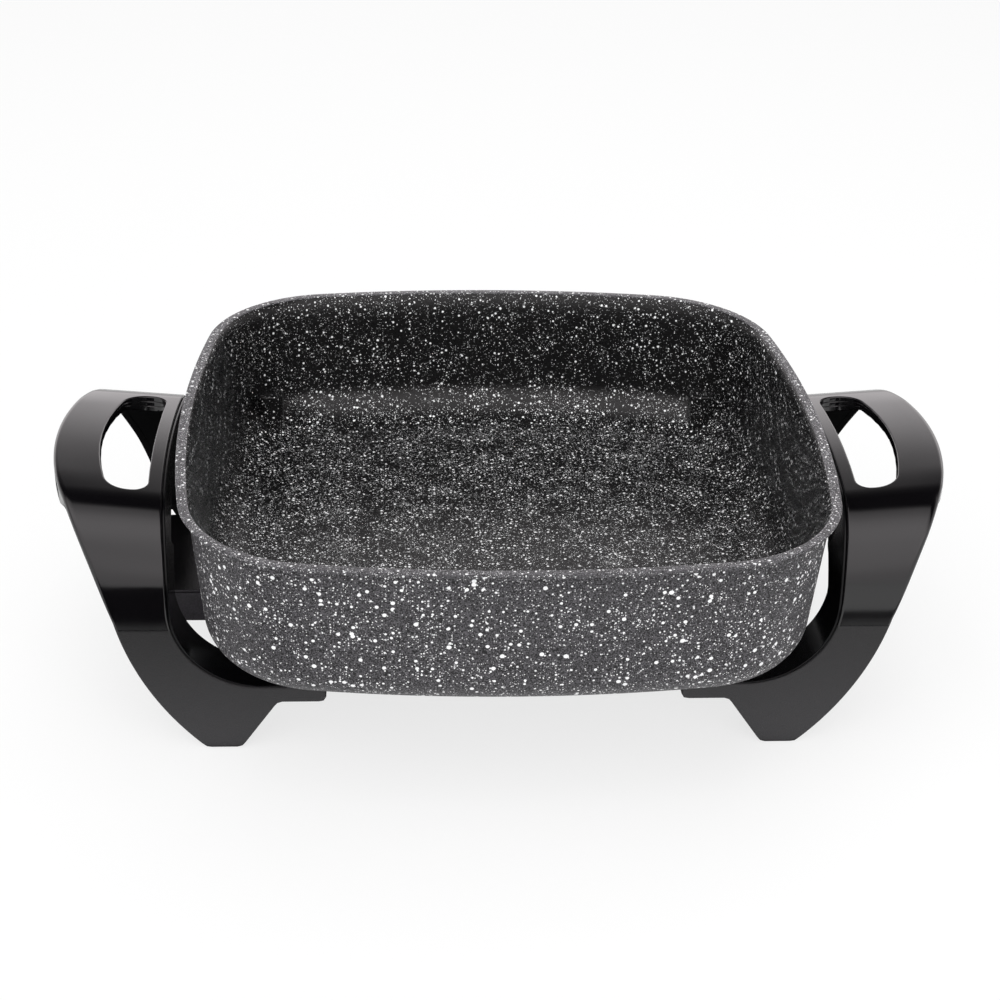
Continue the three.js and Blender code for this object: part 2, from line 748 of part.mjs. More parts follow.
const washerBottomZ = armUnderside - seatGap - washerThickness;
const headTopZ = washerBottomZ - seatGap;
const handleScrewLength = bossBottomZ + handleScrewGrip - headTopZ;
const handleScrew = makeScrew(
  handleScrewDiameter,
  handleScrewHeadDiameter,
  handleScrewHeadHeight,
  handleScrewLength,
);
const washer = makeRing(handleScrewHole / 2, washerDiameter / 2, washerThickness);

for (const [signX, signY] of fourCorners) {
  const place = `${signY < 0 ? 'front' : 'rear'}_${signX < 0 ? 'left' : 'right'}`;
  const screw = addPiece(`handle_screw_${place}`, handleScrew, zincScrew);
  screw.position.set(signX * legScrewX, signY * legScrewY, headTopZ);
  const ring = addPiece(`handle_washer_${place}`, washer, zincScrew);
  ring.position.set(signX * legScrewX, signY * legScrewY, washerBottomZ);
  const pad = addPiece(`foot_pad_${place}`, uprightPrism(padOutline(signY, 0), 0, padThickness), blackRubber);
  pad.position.x = signX < 0 ? -2 * padX : 0;
}

// Heating element

// The element's centre line: in on one lead, round the loop and out on the other. Each place has its point
// and its direction, and only the bends are divided.
function elementStations(startX) {
  const leadY = terminalSpacing / 2;
  const leadBendX = -elementHalfLoop - leadBendRadius;
  const leadBendY = leadY + leadBendRadius;
  const cornerRadius = Math.min(elementCornerRadius, elementHalfLoop - leadBendY);
  const cornerAt = elementHalfLoop - cornerRadius;
  const quarter = Math.PI / 2;
  const bend = (centreX, centreY, radius, from, turn) => {
    const segments = elementBendSegments;
    return arcPoints(centreX, centreY, radius, from, from + turn, segments).map((point, i) => {
      const angle = from + (turn * i) / segments + Math.sign(turn) * quarter;
      return { x: point.x, y: point.y, headX: Math.cos(angle), headY: Math.sin(angle) };
    });
  };
  return [
    { x: -startX, y: -leadY, headX: 1, headY: 0 },
    ...bend(leadBendX, -leadBendY, leadBendRadius, quarter, -quarter),
    ...bend(-cornerAt, -cornerAt, cornerRadius, Math.PI, quarter),
    ...bend(cornerAt, -cornerAt, cornerRadius, -quarter, quarter),
    ...bend(cornerAt, cornerAt, cornerRadius, 0, quarter),
    ...bend(-cornerAt, cornerAt, cornerRadius, quarter, quarter),
    ...bend(leadBendX, leadBendY, leadBendRadius, 0, -quarter),
    { x: -startX, y: leadY, headX: -1, headY: 0 },
  ];
}

// A curve whose evenly spaced places are the stations that it is given.
class StationCurve extends THREE.Curve {
  constructor(stations) {
    super();
    this.stations = stations;
  }

  stationAt(share) {
    return this.stations[Math.round(share * (this.stations.length - 1))];
  }

  getPointAt(share) {
    const station = this.stationAt(share);
    return new THREE.Vector3(station.x, station.y, elementAxisZ);
  }

  getTangentAt(share) {
    const station = this.stationAt(share);
    return new THREE.Vector3(station.headX, station.headY, 0);
  }
}

function circleOutline(radius) {
  return arcPoints(0, 0, radius, 0, Math.PI * 2, tubeSides).slice(0, -1);
}

function runAlongElement(outline, holeOutline, startX) {
  const stations = elementStations(startX);
  const shape = new THREE.Shape(outline);
  if (holeOutline) {
    shape.holes.push(new THREE.Path(holeOutline));
  }
  return new THREE.ExtrudeGeometry(shape, {
    extrudePath: new StationCurve(stations),
    steps: stations.length - 1,
  });
}

const sheathRadius = sheathDiameter / 2;
const sheathEndX = leadEndX + sheathPastCasting;
const castingOutline = roundedOutline([
  [-castingHeight / 2, -castingWidth / 2],
  [castingHeight / 2, -castingWidth / 2, castingCornerRadius],
  [castingHeight / 2, castingWidth / 2, castingCornerRadius],
  [-castingHeight / 2, castingWidth / 2],
], 2);
const casting = runAlongElement(castingOutline, circleOutline(sheathRadius + seatGap), leadEndX);
const sheathInner = sheathRadius - sheathWall;
const sheath = runAlongElement(circleOutline(sheathRadius), circleOutline(sheathInner), sheathEndX);
const coreEndX = sheathEndX - coreShortOfSheath;
const core = runAlongElement(circleOutline(sheathInner - seatGap), null, coreEndX);
addPiece('element_casting', casting, castAluminium);
addPiece('element_sheath', sheath, steelTube);
addPiece('element_core', core, magnesia);

// Terminals, each a pin with a round tip that points to the left, and its ceramic bush

function makeTerminalPin() {
  const radius = terminalDiameter / 2;
  const tipStart = terminalLength - terminalTipRadius;
  const tip = arcPoints(radius - terminalTipRadius, tipStart, terminalTipRadius, 0, Math.PI / 2, 3);
  const profile = [new THREE.Vector2(0, 0), new THREE.Vector2(radius, 0), ...tip];
  profile.push(new THREE.Vector2(0, terminalLength));
  return new THREE.LatheGeometry(profile, roundSides).rotateZ(Math.PI / 2);
}

const pinStartX = coreEndX + seatGap;
const sealStartX = sheathEndX + seatGap;
const terminalPin = makeTerminalPin();
const sealBore = terminalDiameter / 2 + seatGap;
const terminalSeal = makeRing(sealBore, sealDiameter / 2, sealLength).rotateY(-Math.PI / 2);
for (const [place, sign] of [['front', -1], ['rear', 1]]) {
  const y = (sign * terminalSpacing) / 2;
  addPiece(`terminal_pin_${place}`, terminalPin, nickelPin).position.set(-pinStartX, y, elementAxisZ);
  addPiece(`terminal_seal_${place}`, terminalSeal, ceramic).position.set(-sealStartX, y, elementAxisZ);
}

// Sleeve for the temperature sensor, held in the guard's back wall between the terminals

const sleeveMouthX = guardBackX + guardWall + sleevePastWall;
const sleeve = makeRing(sleeveBore / 2, sleeveDiameter / 2, sleeveLength).rotateY(Math.PI / 2);
addPiece('probe_sleeve', sleeve, steelTube).position.set(-sleeveMouthX, 0, elementAxisZ);

// Socket guard: a box open to the left, with ears that screw to the pan's underside

function makeSocketGuard() {
  const half = guardWidth / 2;
  const mouthX = lipX + guardReach;
  const bottomZ = guardTopZ - guardHeight;
  const wallX = guardBackX + guardWall;
  const outline = roundedOutline([
    [-mouthX, -half, guardCornerRadius],
    [-guardBackX, -half],
    [-guardBackX, half],
    [-mouthX, half, guardCornerRadius],
  ]);
  let guard = uprightPrism(outline, bottomZ, guardTopZ);
  guard = guard.subtract(block(
    -mouthX - cutOverrun,
    -wallX,
    -half + guardWall,
    half - guardWall,
    bottomZ + guardWall,
    guardTopZ - guardWall,
  ));
  for (const side of ends) {
    const earEndX = -guardBackX + guardEarLength;
    const [lowY, highY] = [side * guardEarInnerY, side * half].sort((a, b) => a - b);
    const ear = block(-guardBackX - lap, earEndX, lowY, highY, guardTopZ - guardWall, guardTopZ);
    guard = guard.add(ear);
    const holeBottom = guardTopZ - guardWall - cutOverrun;
    const holeY = side * guardScrewY;
    guard = guard.subtract(
      uprightCylinder(guardScrewX, holeY, guardScrewHole, holeBottom, guardTopZ + cutOverrun),
    );
    guard = guard.subtract(cylinderAlongX(
      -wallX - cutOverrun,
      -guardBackX + cutOverrun,
      (side * terminalSpacing) / 2,
      elementAxisZ,
      sealDiameter + seatGap * 2,
    ));
  }
  return guard.subtract(cylinderAlongX(
    -wallX - cutOverrun,
    -guardBackX + cutOverrun,
    0,
    elementAxisZ,
    sleeveDiameter + seatGap * 2,
  ));
}

addPiece('socket_guard', makeSocketGuard(), guardMoulding);

const guardHeadTopZ = guardTopZ - guardWall - seatGap;
const guardScrewLength = panUndersideHeight + guardScrewGrip - guardHeadTopZ;
const guardScrew = makeScrew(
  guardScrewDiameter,
  guardScrewHeadDiameter,
  guardScrewHeadHeight,
  guardScrewLength,
);
for (const [place, side] of [['front', -1], ['rear', 1]]) {
  const screw = addPiece(`socket_guard_screw_${place}`, guardScrew, zincScrew);
  screw.position.set(guardScrewX, side * guardScrewY, guardHeadTopZ);
}

export default skillet;
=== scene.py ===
from math import asin, atan2, cos, hypot, pi, radians, sin, sqrt, tan

import bmesh
import bpy
from mathutils import Matrix, Vector


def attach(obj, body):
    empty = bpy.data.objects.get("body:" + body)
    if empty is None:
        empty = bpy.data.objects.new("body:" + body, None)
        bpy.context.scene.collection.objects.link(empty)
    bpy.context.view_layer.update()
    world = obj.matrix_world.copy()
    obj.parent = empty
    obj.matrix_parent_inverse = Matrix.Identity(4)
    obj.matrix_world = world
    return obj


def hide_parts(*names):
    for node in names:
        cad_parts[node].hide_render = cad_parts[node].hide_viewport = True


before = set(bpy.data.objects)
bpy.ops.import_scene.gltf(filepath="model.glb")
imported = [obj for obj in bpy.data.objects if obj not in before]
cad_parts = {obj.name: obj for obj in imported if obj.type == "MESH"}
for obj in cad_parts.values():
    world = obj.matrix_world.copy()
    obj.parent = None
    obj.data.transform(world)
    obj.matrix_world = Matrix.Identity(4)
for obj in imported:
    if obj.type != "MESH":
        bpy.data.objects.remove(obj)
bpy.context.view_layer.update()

mm = 0.001
quarter = pi / 2
skySpan = 180  # degrees


def addObject(name, data):
    made = bpy.data.objects.new(name, data)
    bpy.context.scene.collection.objects.link(made)
    return made


# the camera, at the photograph's viewing angle

cameraView = {
    "place": (-0.057416, -0.857522, 0.560103),
    "azimuth": -3.86,
    "elevation": 28.62,
    "roll": 1.69,
    "lens": 69.7,
    "farthest": 30.0,
}


def placeCamera(view):
    camera = addObject("skilletCamera", bpy.data.cameras.new("skilletCamera"))
    turn, lift, roll = (radians(view[key]) for key in ("azimuth", "elevation", "roll"))
    back = Vector((sin(turn) * cos(lift), -cos(turn) * cos(lift), sin(lift)))
    flatRight = Vector((0, 0, 1)).cross(back).normalized()
    flatUp = back.cross(flatRight)
    right = cos(roll) * flatRight + sin(roll) * flatUp
    up = cos(roll) * flatUp - sin(roll) * flatRight
    placed = Matrix((right, up, back)).transposed().to_4x4()
    placed.translation = Vector(view["place"])
    camera.matrix_world = placed
    camera.data.lens = view["lens"]
    camera.data.clip_end = view["farthest"]
    bpy.context.scene.camera = camera


placeCamera(cameraView)
print("camera placed")

# short ways to add and join nodes


def feed(tree, socket, value):
    if isinstance(value, bpy.types.NodeSocket):
        tree.links.new(value, socket)
    else:
        socket.default_value = value


def feedNamed(tree, node, **values):
    # baseColor is the socket called Base Color
    for label, value in values.items():
        spaced = "".join(" " + c if c.isupper() else c for c in label)
        feed(tree, node.inputs[spaced[0].upper() + spaced[1:]], value)
    return node


def addNode(tree, kind, inputs=None, **settings):
    node = tree.nodes.new("ShaderNode" + kind)
    for key, value in settings.items():
        setattr(node, key, value)
    for key, value in (inputs or {}).items():
        feed(tree, node.inputs[key], value)
    return node


def calc(tree, operation, *values, clamp=False):
    return addNode(tree, "Math", dict(enumerate(values)), operation=operation, use_clamp=clamp).outputs[0]


def addUp(tree, *parts):
    # the sum of values, each times its weight
    total = None
    for value, weight in parts:
        weighed = calc(tree, "MULTIPLY", value, weight)
        total = weighed if total is None else calc(tree, "ADD", total, weighed)
    return total


def remap(tree, value, fromLow, fromHigh, low=0.0, high=1.0, smooth=False):
    kind = "SMOOTHSTEP" if smooth else "LINEAR"
    inputs = {"Value": value, "From Min": fromLow, "From Max": fromHigh, "To Min": low, "To Max": high}
    return addNode(tree, "MapRange", inputs, interpolation_type=kind, clamp=True).outputs["Result"]


def blendColour(tree, share, first, second):
    # a mix node has sockets of its own for colours and for numbers
    return addNode(tree, "Mix", {0: share, 6: first, 7: second}, data_type="RGBA").outputs[2]


def blendValue(tree, share, first, second):
    return addNode(tree, "Mix", {0: share, 2: first, 3: second}, data_type="FLOAT").outputs[0]


def vectorMath(tree, operation, first, second):
    key = "Scale" if operation == "SCALE" else 1
    return addNode(tree, "VectorMath", {0: first, key: second}, operation=operation).outputs[0]


def noise(tree, place, scale, detail=2.0, roughness=0.5, output="Fac"):
    inputs = {"Vector": place, "Scale": scale, "Detail": detail, "Roughness": roughness}
    return addNode(tree, "TexNoise", inputs).outputs[output]


def objectPlace(tree):
    return addNode(tree, "TexCoord").outputs["Object"]


def heightAbove(tree):
    return addNode(tree, "SeparateXYZ", {0: objectPlace(tree)}).outputs[2]


def startGroup(name, inputs, outputs):
    tree = bpy.data.node_groups.new(name, "ShaderNodeTree")
    for label, value in inputs.items():
        socket = tree.interface.new_socket(name=label, in_out="INPUT", socket_type="NodeSocketFloat")
        socket.default_value = value
    for label in outputs:
        tree.interface.new_socket(name=label, in_out="OUTPUT", socket_type="NodeSocketFloat")
    return tree, tree.nodes.new("NodeGroupInput").outputs, tree.nodes.new("NodeGroupOutput")


def placeGroup(tree, group, **values):
    node = tree.nodes.new("ShaderNodeGroup")
    node.node_tree = group
    return feedNamed(tree, node, **values)


def screen(red, green, blue):
    # a colour as read on a screen, 0 to 255, in the linear values that sockets hold
    def linear(level):
        share = level / 255
        return share / 12.92 if share <= 0.04045 else ((share + 0.055) / 1.055) ** 2.4
    return (linear(red), linear(green), linear(blue), 1.0)


# effects that several finishes share

# layers of specks, coarse to fine: cells per metre, share of the cells with a speck, the smallest and
# largest speck as shares of a cell, and how white the greyest and whitest are
speckLayers = [
    {"cells": 290, "share": 0.56, "small": 0.17, "large": 0.36, "dim": 0.9, "bright": 1.0},
    {"cells": 500, "share": 0.44, "small": 0.17, "large": 0.32, "dim": 0.7, "bright": 1.0},
    {"cells": 760, "share": 0.4, "small": 0.2, "large": 0.33, "dim": 0.45, "bright": 1.0},
    {"cells": 1150, "share": 0.4, "small": 0.26, "large": 0.36, "dim": 0.14, "bright": 0.8},
]
granite = {
    "raggedScale": 900.0,  # of what makes the specks' outlines uneven
    "crowdScale": 55.0,  # of the slow change between crowded and bare places
    "crowdNoise": (0.33, 0.67),
    "crowding": (0.55, 1.4),
    "core": 0.84,  # share of a speck's width that is fully white
    "whitest": 0.8,  # share of the specks that are greyer than the whitest
    "grainRoughness": 0.7,
    "rippleScale": 420.0,
    "relief": {"grain": 0.35, "ripple": 0.9, "speck": 0.25},
}
# grain and marks of the plain finishes
plainMarks = {
    "noiseRange": (0.3, 0.7),  # most of a noise lies in it
    "pitScale": 0.7,  # of a moulding's pits, as a share of its grain's
    "pitDepth": 0.8,
    "sheenScale": 22.0,
    "streakScale": 900.0,
    "streakDepth": 0.4,
}


def makeGraniteSpecks():
    inputs = {"Amount": 1.0, "Size": 1.0, "Fineness": 1.0, "Grain Scale": 1400.0, "Ragged": 0.0003,
              "Grain Low": 0.4, "Grain High": 0.66}
    tree, given, out = startGroup("graniteSpecks", inputs, ("Speck", "Grain", "Height"))
    place = objectPlace(tree)
    wander = noise(tree, place, granite["raggedScale"], output="Color")
    centred = vectorMath(tree, "SUBTRACT", wander, (0.5, 0.5, 0.5))
    ragged = vectorMath(tree, "ADD", place, vectorMath(tree, "SCALE", centred, given["Ragged"]))
    drift = noise(tree, place, granite["crowdScale"])
    crowding = remap(tree, drift, *granite["crowdNoise"], *granite["crowding"])
    crowding = calc(tree, "MULTIPLY", crowding, given["Amount"])
    speck = None
    for layer in speckLayers:
        cells = calc(tree, "MULTIPLY", given["Fineness"], float(layer["cells"]))
        cell = addNode(tree, "TexVoronoi", {"Vector": ragged, "Scale": cells})
        lot = addNode(tree, "SeparateColor", {0: cell.outputs["Color"]}).outputs
        wide = remap(tree, lot[1], 0.0, 1.0, layer["small"], layer["large"])
        wide = calc(tree, "MULTIPLY", wide, given["Size"])
        core = calc(tree, "MULTIPLY", wide, granite["core"])
        spot = remap(tree, cell.outputs["Distance"], wide, core, smooth=True)
        there = calc(tree, "LESS_THAN", lot[0], calc(tree, "MULTIPLY", crowding, layer["share"]))
        tone = remap(tree, lot[2], 0.0, granite["whitest"], layer["dim"], layer["bright"])
        spot = calc(tree, "MULTIPLY", calc(tree, "MULTIPLY", spot, there), tone)
        speck = spot if speck is None else calc(tree, "MAXIMUM", speck, spot)
    grain = noise(tree, place, given["Grain Scale"], roughness=granite["grainRoughness"])
    grain = remap(tree, grain, given["Grain Low"], given["Grain High"])
    ripple = noise(tree, place, granite["rippleScale"], 1.0)
    relief = granite["relief"]
    height = addUp(tree, (grain, relief["grain"]), (ripple, relief["ripple"]), (speck, relief["speck"]))
    feedNamed(tree, out, speck=speck, grain=grain, height=height)
    return tree


def makeMouldGrain():
    # the fine spark-eroded grain of a plastic mould, and slow changes of sheen
    tree, given, out = startGroup("mouldGrain", {"Grain Scale": 1500.0}, ("Grain", "Sheen Drift", "Height"))
    place = objectPlace(tree)
    pitScale = calc(tree, "MULTIPLY", given["Grain Scale"], plainMarks["pitScale"])
    pits = addNode(tree, "TexVoronoi", {"Vector": place, "Scale": pitScale}).outputs["Distance"]
    grain = remap(tree, noise(tree, place, given["Grain Scale"], 3.0), *plainMarks["noiseRange"])
    drift = remap(tree, noise(tree, place, plainMarks["sheenScale"], 3.0), *plainMarks["noiseRange"])
    height = addUp(tree, (grain, 1.0), (pits, plainMarks["pitDepth"]))
    feedNamed(tree, out, grain=grain, sheenDrift=drift, height=height)
    return tree


def makeMetalSkin():
    # blotches and brush marks of cast, drawn and plated metal
    inputs = {"Mottle Scale": 180.0, "Stretch": 1.0}
    tree, given, out = startGroup("metalSkin", inputs, ("Mottle", "Streak", "Height"))
    place = objectPlace(tree)
    stretch = addNode(tree, "CombineXYZ", {0: given["Stretch"], 1: 1.0, 2: 1.0}).outputs[0]
    pulled = vectorMath(tree, "MULTIPLY", place, stretch)
    mottle = remap(tree, noise(tree, place, given["Mottle Scale"], 4.0), *plainMarks["noiseRange"])
    streak = remap(tree, noise(tree, pulled, plainMarks["streakScale"]), *plainMarks["noiseRange"])
    height = addUp(tree, (mottle, 1.0), (streak, plainMarks["streakDepth"]))
    feedNamed(tree, out, mottle=mottle, streak=streak, height=height)
    return tree


graniteSpecks = makeGraniteSpecks()
mouldGrain = makeMouldGrain()
metalSkin = makeMetalSkin()
print("effect groups made")

# the finishes

finishes = {}


def startFinish(name, bending=1.5, metallic=0.0):
    material = bpy.data.materials.new(name)
    material.use_nodes = True
    tree = material.node_tree
    skin = feedNamed(tree, tree.nodes["Principled BSDF"], metallic=metallic)
    skin.inputs["IOR"].default_value = bending
    finishes[name] = material
    return tree, skin


def bump(tree, skin, height, depth, strength):
    node = addNode(tree, "Bump", {"Strength": strength, "Distance": depth, "Height": height})
    feedNamed(tree, skin, normal=node.outputs["Normal"])


# "amount" is how much of the speck there is low in the pan and up its walls, "rough" where the grain is dark
# and pale, and "bump" its depth in metres and its strength
graniteCoats = {
    "graniteOutside": {
        "base": screen(88, 86, 90), "dark": screen(4, 4, 5), "speck": screen(242, 242, 243),
        "amount": (0.7, 0.7), "size": 1.0, "fineness": 1.0, "grain": 1400.0, "grainRange": (0.42, 0.61),
        "rough": (0.53, 0.41), "bending": 1.38, "bump": (0.00007, 0.6)},
    "graniteInside": {
        "base": screen(17, 17, 18), "dark": screen(1, 1, 1), "speck": screen(246, 246, 247),
        "amount": (0.92, 0.52), "size": 0.94, "fineness": 1.5, "grain": 950.0, "grainRange": (0.44, 0.6),
        "rough": (0.34, 0.22), "bending": 1.42, "bump": (0.00012, 0.6)},
    # the lip's paler ground is painted light on its upward-facing top; its lower roughness is its smoother
    # finish
    "graniteLip": {
        "base": screen(90, 88, 92), "dark": screen(16, 16, 18), "speck": screen(242, 242, 243),
        "amount": (1.1, 1.1), "size": 0.9, "fineness": 1.38, "grain": 1400.0, "grainRange": (0.38, 0.6),
        "rough": (0.49, 0.37), "bending": 1.42, "bump": (0.00005, 0.5)},
}
wallStart = (0.072, 0.092)  # above the table, where the pan's floor gives way to its walls


def makeGranite(name, coat):
    tree, skin = startFinish(name, coat["bending"])
    amount = remap(tree, heightAbove(tree), *wallStart, *coat["amount"])
    grainLow, grainHigh = coat["grainRange"]
    specks = placeGroup(tree, graniteSpecks, amount=amount, size=coat["size"], fineness=coat["fineness"],
                        grainScale=coat["grain"], grainLow=grainLow, grainHigh=grainHigh)
    speck, grain, height = specks.outputs
    ground = blendColour(tree, grain, coat["dark"], coat["base"])
    feedNamed(tree, skin, baseColor=blendColour(tree, speck, ground, coat["speck"]),
              roughness=remap(tree, grain, 0.0, 1.0, *coat["rough"]))
    bump(tree, skin, height, *coat["bump"])


handleFace = {
    "bending": 1.6,
    "black": screen(9, 8, 10),
    "mattTop": screen(10, 9, 11),
    "mattFoot": screen(44, 43, 46),
    "palestAt": 0.012,  # height of the palest grain, above the table
    "paleGrain": (0.1, 0.9, 0.3, 1.0),  # how the grain takes part in that
    "gloss": (0.08, 0.16),
    "matt": (0.54, 0.68),
    "mattBelow": 0.0672,  # where the polished face gives way to the grained one
    "mattEdge": 0.0012,
    "haze": 0.07,  # how much rougher the polish gets on its way down to the grain
    "hazeFrom": 0.082,
    "grain": 1500.0,
    "bump": (0.00009, 0.9),
}


def makeHandleBlack():
    # polished above, finely grained on the legs
    face = handleFace
    tree, skin = startFinish("handleBlack", face["bending"])
    grain, drift, relief = placeGroup(tree, mouldGrain, grainScale=face["grain"]).outputs
    height = heightAbove(tree)
    low, soft = face["mattBelow"], face["mattEdge"]
    matt = remap(tree, height, low + soft, low - soft, smooth=True)
    # the matt grain turns paler from the polished face down towards the foot
    paler = remap(tree, height, low, face["palestAt"])
    paler = calc(tree, "MULTIPLY", paler, remap(tree, grain, *face["paleGrain"]))
    paleTowardsFoot = blendColour(tree, paler, face["mattTop"], face["mattFoot"])
    haze = remap(tree, height, face["hazeFrom"], low, 0.0, face["haze"], smooth=True)
    gloss = calc(tree, "ADD", remap(tree, drift, 0.0, 1.0, *face["gloss"]), haze)
    dull = remap(tree, grain, 0.0, 1.0, *face["matt"])
    feedNamed(tree, skin, baseColor=blendColour(tree, matt, face["black"], paleTowardsFoot),
              roughness=blendValue(tree, matt, gloss, dull))
    bump(tree, skin, calc(tree, "MULTIPLY", relief, matt), *face["bump"])


# kinds of plain finish: the marks on it, the socket for their scale, how strongly they are felt, and whether
# it is bare metal
finishKinds = {
    "moulding": {"marks": mouldGrain, "scaleSocket": "Grain Scale", "felt": 0.7, "metallic": 0.0},
    "metal": {"marks": metalSkin, "scaleSocket": "Mottle Scale", "felt": 0.6, "metallic": 1.0},
    "powder": {"marks": metalSkin, "scaleSocket": "Mottle Scale", "felt": 0.8, "metallic": 0.0},
}
# each with its own colour, the colour of its marks, and how rough it is; "scale" and "depth" are its marks'
plainFinishes = {
    "linerBlack": {"kind": "moulding", "colour": (10, 10, 12), "marked": (6, 6, 7), "rough": (0.14, 0.24),
                   "scale": 900.0, "depth": 0.000008, "bending": 1.3},
    # the shell's hidden inside takes a darker, duller copy of the black moulding: painted shade
    "handleHollow": {"kind": "moulding", "colour": (10, 10, 11), "marked": (7, 7, 8), "rough": (0.6, 0.72),
                     "scale": 900.0, "depth": 0.00003, "bending": 1.2},
    "guardGrey": {"kind": "moulding", "colour": (64, 61, 66), "marked": (48, 46, 50), "rough": (0.4, 0.5),
                  "scale": 1300.0, "depth": 0.00004},
    # the guard's glossy top is black for painted shade from the pan and handle above it
    "guardTopBlack": {"kind": "moulding", "colour": (9, 8, 10), "marked": (6, 5, 7), "rough": (0.2, 0.3),
                      "scale": 1100.0, "depth": 0.00001, "bending": 1.35},
    "padRubber": {"kind": "moulding", "colour": (30, 30, 30), "marked": (22, 22, 22), "rough": (0.78, 0.92),
                  "scale": 1100.0, "depth": 0.00008},
    "elementAluminium": {"kind": "metal", "colour": (190, 191, 194), "marked": (150, 150, 154),
                         "rough": (0.38, 0.56), "scale": 260.0, "depth": 0.00012},
    "heatedSteel": {"kind": "metal", "colour": (150, 140, 128), "marked": (96, 88, 92), "rough": (0.3, 0.46),
                    "scale": 120.0, "stretch": 0.1, "depth": 0.00002},
    "nickelPlate": {"kind": "metal", "colour": (214, 209, 199), "marked": (186, 178, 164),
                    "rough": (0.16, 0.3), "scale": 150.0, "stretch": 0.2, "depth": 0.00001},
    "zincPlate": {"kind": "metal", "colour": (196, 199, 203), "marked": (160, 163, 166), "rough": (0.24, 0.4),
                  "scale": 320.0, "depth": 0.00002},
    "magnesiaWhite": {"kind": "powder", "colour": (226, 223, 214), "marked": (196, 191, 180),
                      "rough": (0.82, 0.96), "scale": 700.0, "depth": 0.0001},
    "bushCeramic": {"kind": "powder", "colour": (240, 235, 222), "marked": (221, 213, 196),
                    "rough": (0.54, 0.68), "scale": 420.0, "depth": 0.00004},
}


def makePlainFinish(name, look):
    kind = finishKinds[look["kind"]]
    tree, skin = startFinish(name, look.get("bending", 1.5), kind["metallic"])
    marks = placeGroup(tree, kind["marks"])
    feed(tree, marks.inputs[kind["scaleSocket"]], look["scale"])
    if "stretch" in look:
        feedNamed(tree, marks, stretch=look["stretch"])
    marked, sheen, height = marks.outputs
    colour = blendColour(tree, marked, screen(*look["marked"]), screen(*look["colour"]))
    feedNamed(tree, skin, baseColor=colour, roughness=remap(tree, sheen, 0.0, 1.0, *look["rough"]))
    bump(tree, skin, height, look["depth"], kind["felt"])


for name, coat in graniteCoats.items():
    makeGranite(name, coat)
makeHandleBlack()
for name, look in plainFinishes.items():
    makePlainFinish(name, look)
print("finishes made")

# mesh helpers, all in millimetres

softSharp = 32  # degrees from which a corner stays sharp
roundSharp = 40  # on pieces with many small rounds
nearAxis = 0.01  # radius at which a turned shape is closed


def arc(centreX, centreY, radius, start, end, steps):
    turns = [start + (end - start) * i / steps for i in range(steps + 1)]
    return [(centreX + radius * cos(turn), centreY + radius * sin(turn)) for turn in turns]


def loft(rings, loop=False, slotOf=lambda r, i: 0):
    # joins closed rings of points into one skin, capped at its ends unless it is a loop
    count = len(rings[0])
    points = [point for ring in rings for point in ring]
    faces, slots = [], []
    for r in range(len(rings) if loop else len(rings) - 1):
        nextRow = (r + 1) % len(rings) * count
        for i in range(count):
            j = (i + 1) % count
            faces.append((r * count + i, r * count + j, nextRow + j, nextRow + i))
            slots.append(slotOf(r, i))
    if not loop:
        faces += [tuple(range(count)), tuple(range(len(points) - count, len(points)))]
        slots += [slotOf(0, 0), slotOf(len(rings) - 2, 0)]
    return points, faces, slots


def makePiece(name, shapes, materials=(), sharpAngle=softSharp):
    work = bmesh.new()
    for points, faces, slots in shapes:
        made = [work.verts.new(Vector(point) * mm) for point in points]
        for corners, slot in zip(faces, slots):
            face = work.faces.new([made[i] for i in corners])
            face.material_index = slot
            face.smooth = True
    bmesh.ops.recalc_face_normals(work, faces=work.faces)
    mesh = bpy.data.meshes.new(name)
    work.to_mesh(mesh)
    work.free()
    mesh.set_sharp_from_angle(angle=radians(sharpAngle))
    for material in materials:
        mesh.materials.append(finishes[material])
    return addObject(name, mesh)


def settleModifiers(piece, sharpAngle=None):
    # keeps the mesh that the modifiers make, with its shading as it is unless an angle is given
    seen = bpy.context.evaluated_depsgraph_get()
    seen.update()
    mesh = bpy.data.meshes.new_from_object(piece.evaluated_get(seen), depsgraph=seen)
    mesh.name = piece.name
    piece.modifiers.clear()
    piece.data = mesh
    if sharpAngle:
        for polygon in mesh.polygons:
            polygon.use_smooth = True
        mesh.set_sharp_from_angle(angle=radians(sharpAngle))


def combine(piece, other, operation="DIFFERENCE", sharpAngle=softSharp):
    # cuts the other piece out of this one, or joins it on, and takes the other away
    change = piece.modifiers.new("change", "BOOLEAN")
    change.operation = operation
    change.solver = "EXACT"
    change.object = other
    settleModifiers(piece, sharpAngle)
    remove(other)


def addShapes(piece, shapes):
    # puts further closed shapes into a piece
    extra = makePiece("extra", shapes)
    work = bmesh.new()
    work.from_mesh(piece.data)
    work.from_mesh(extra.data)
    work.to_mesh(piece.data)
    work.free()
    piece.data.set_sharp_from_angle(angle=radians(softSharp))
    remove(extra)


def roundEdges(piece, width, fromAngle=40):
    edge = piece.modifiers.new("edge", "BEVEL")
    edge.width = width * mm
    edge.segments = 3
    edge.limit_method = "ANGLE"
    edge.angle_limit = radians(fromAngle)
    edge.use_clamp_overlap = True
    edge.harden_normals = False
    settleModifiers(piece, softSharp)


def dress(piece, slotName):
    # keeps flat faces flat beside small rounds, hangs a piece on the root body, and hides the node it stands
    # for, such as pan_body for panBody
    shading = piece.modifiers.new("shading", "WEIGHTED_NORMAL")
    shading.keep_sharp = True
    shading.weight = 70
    settleModifiers(piece)
    nodeName = "".join("_" + c.lower() if c.isupper() else c for c in piece.name)
    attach(piece, "root")
    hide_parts(nodeName)


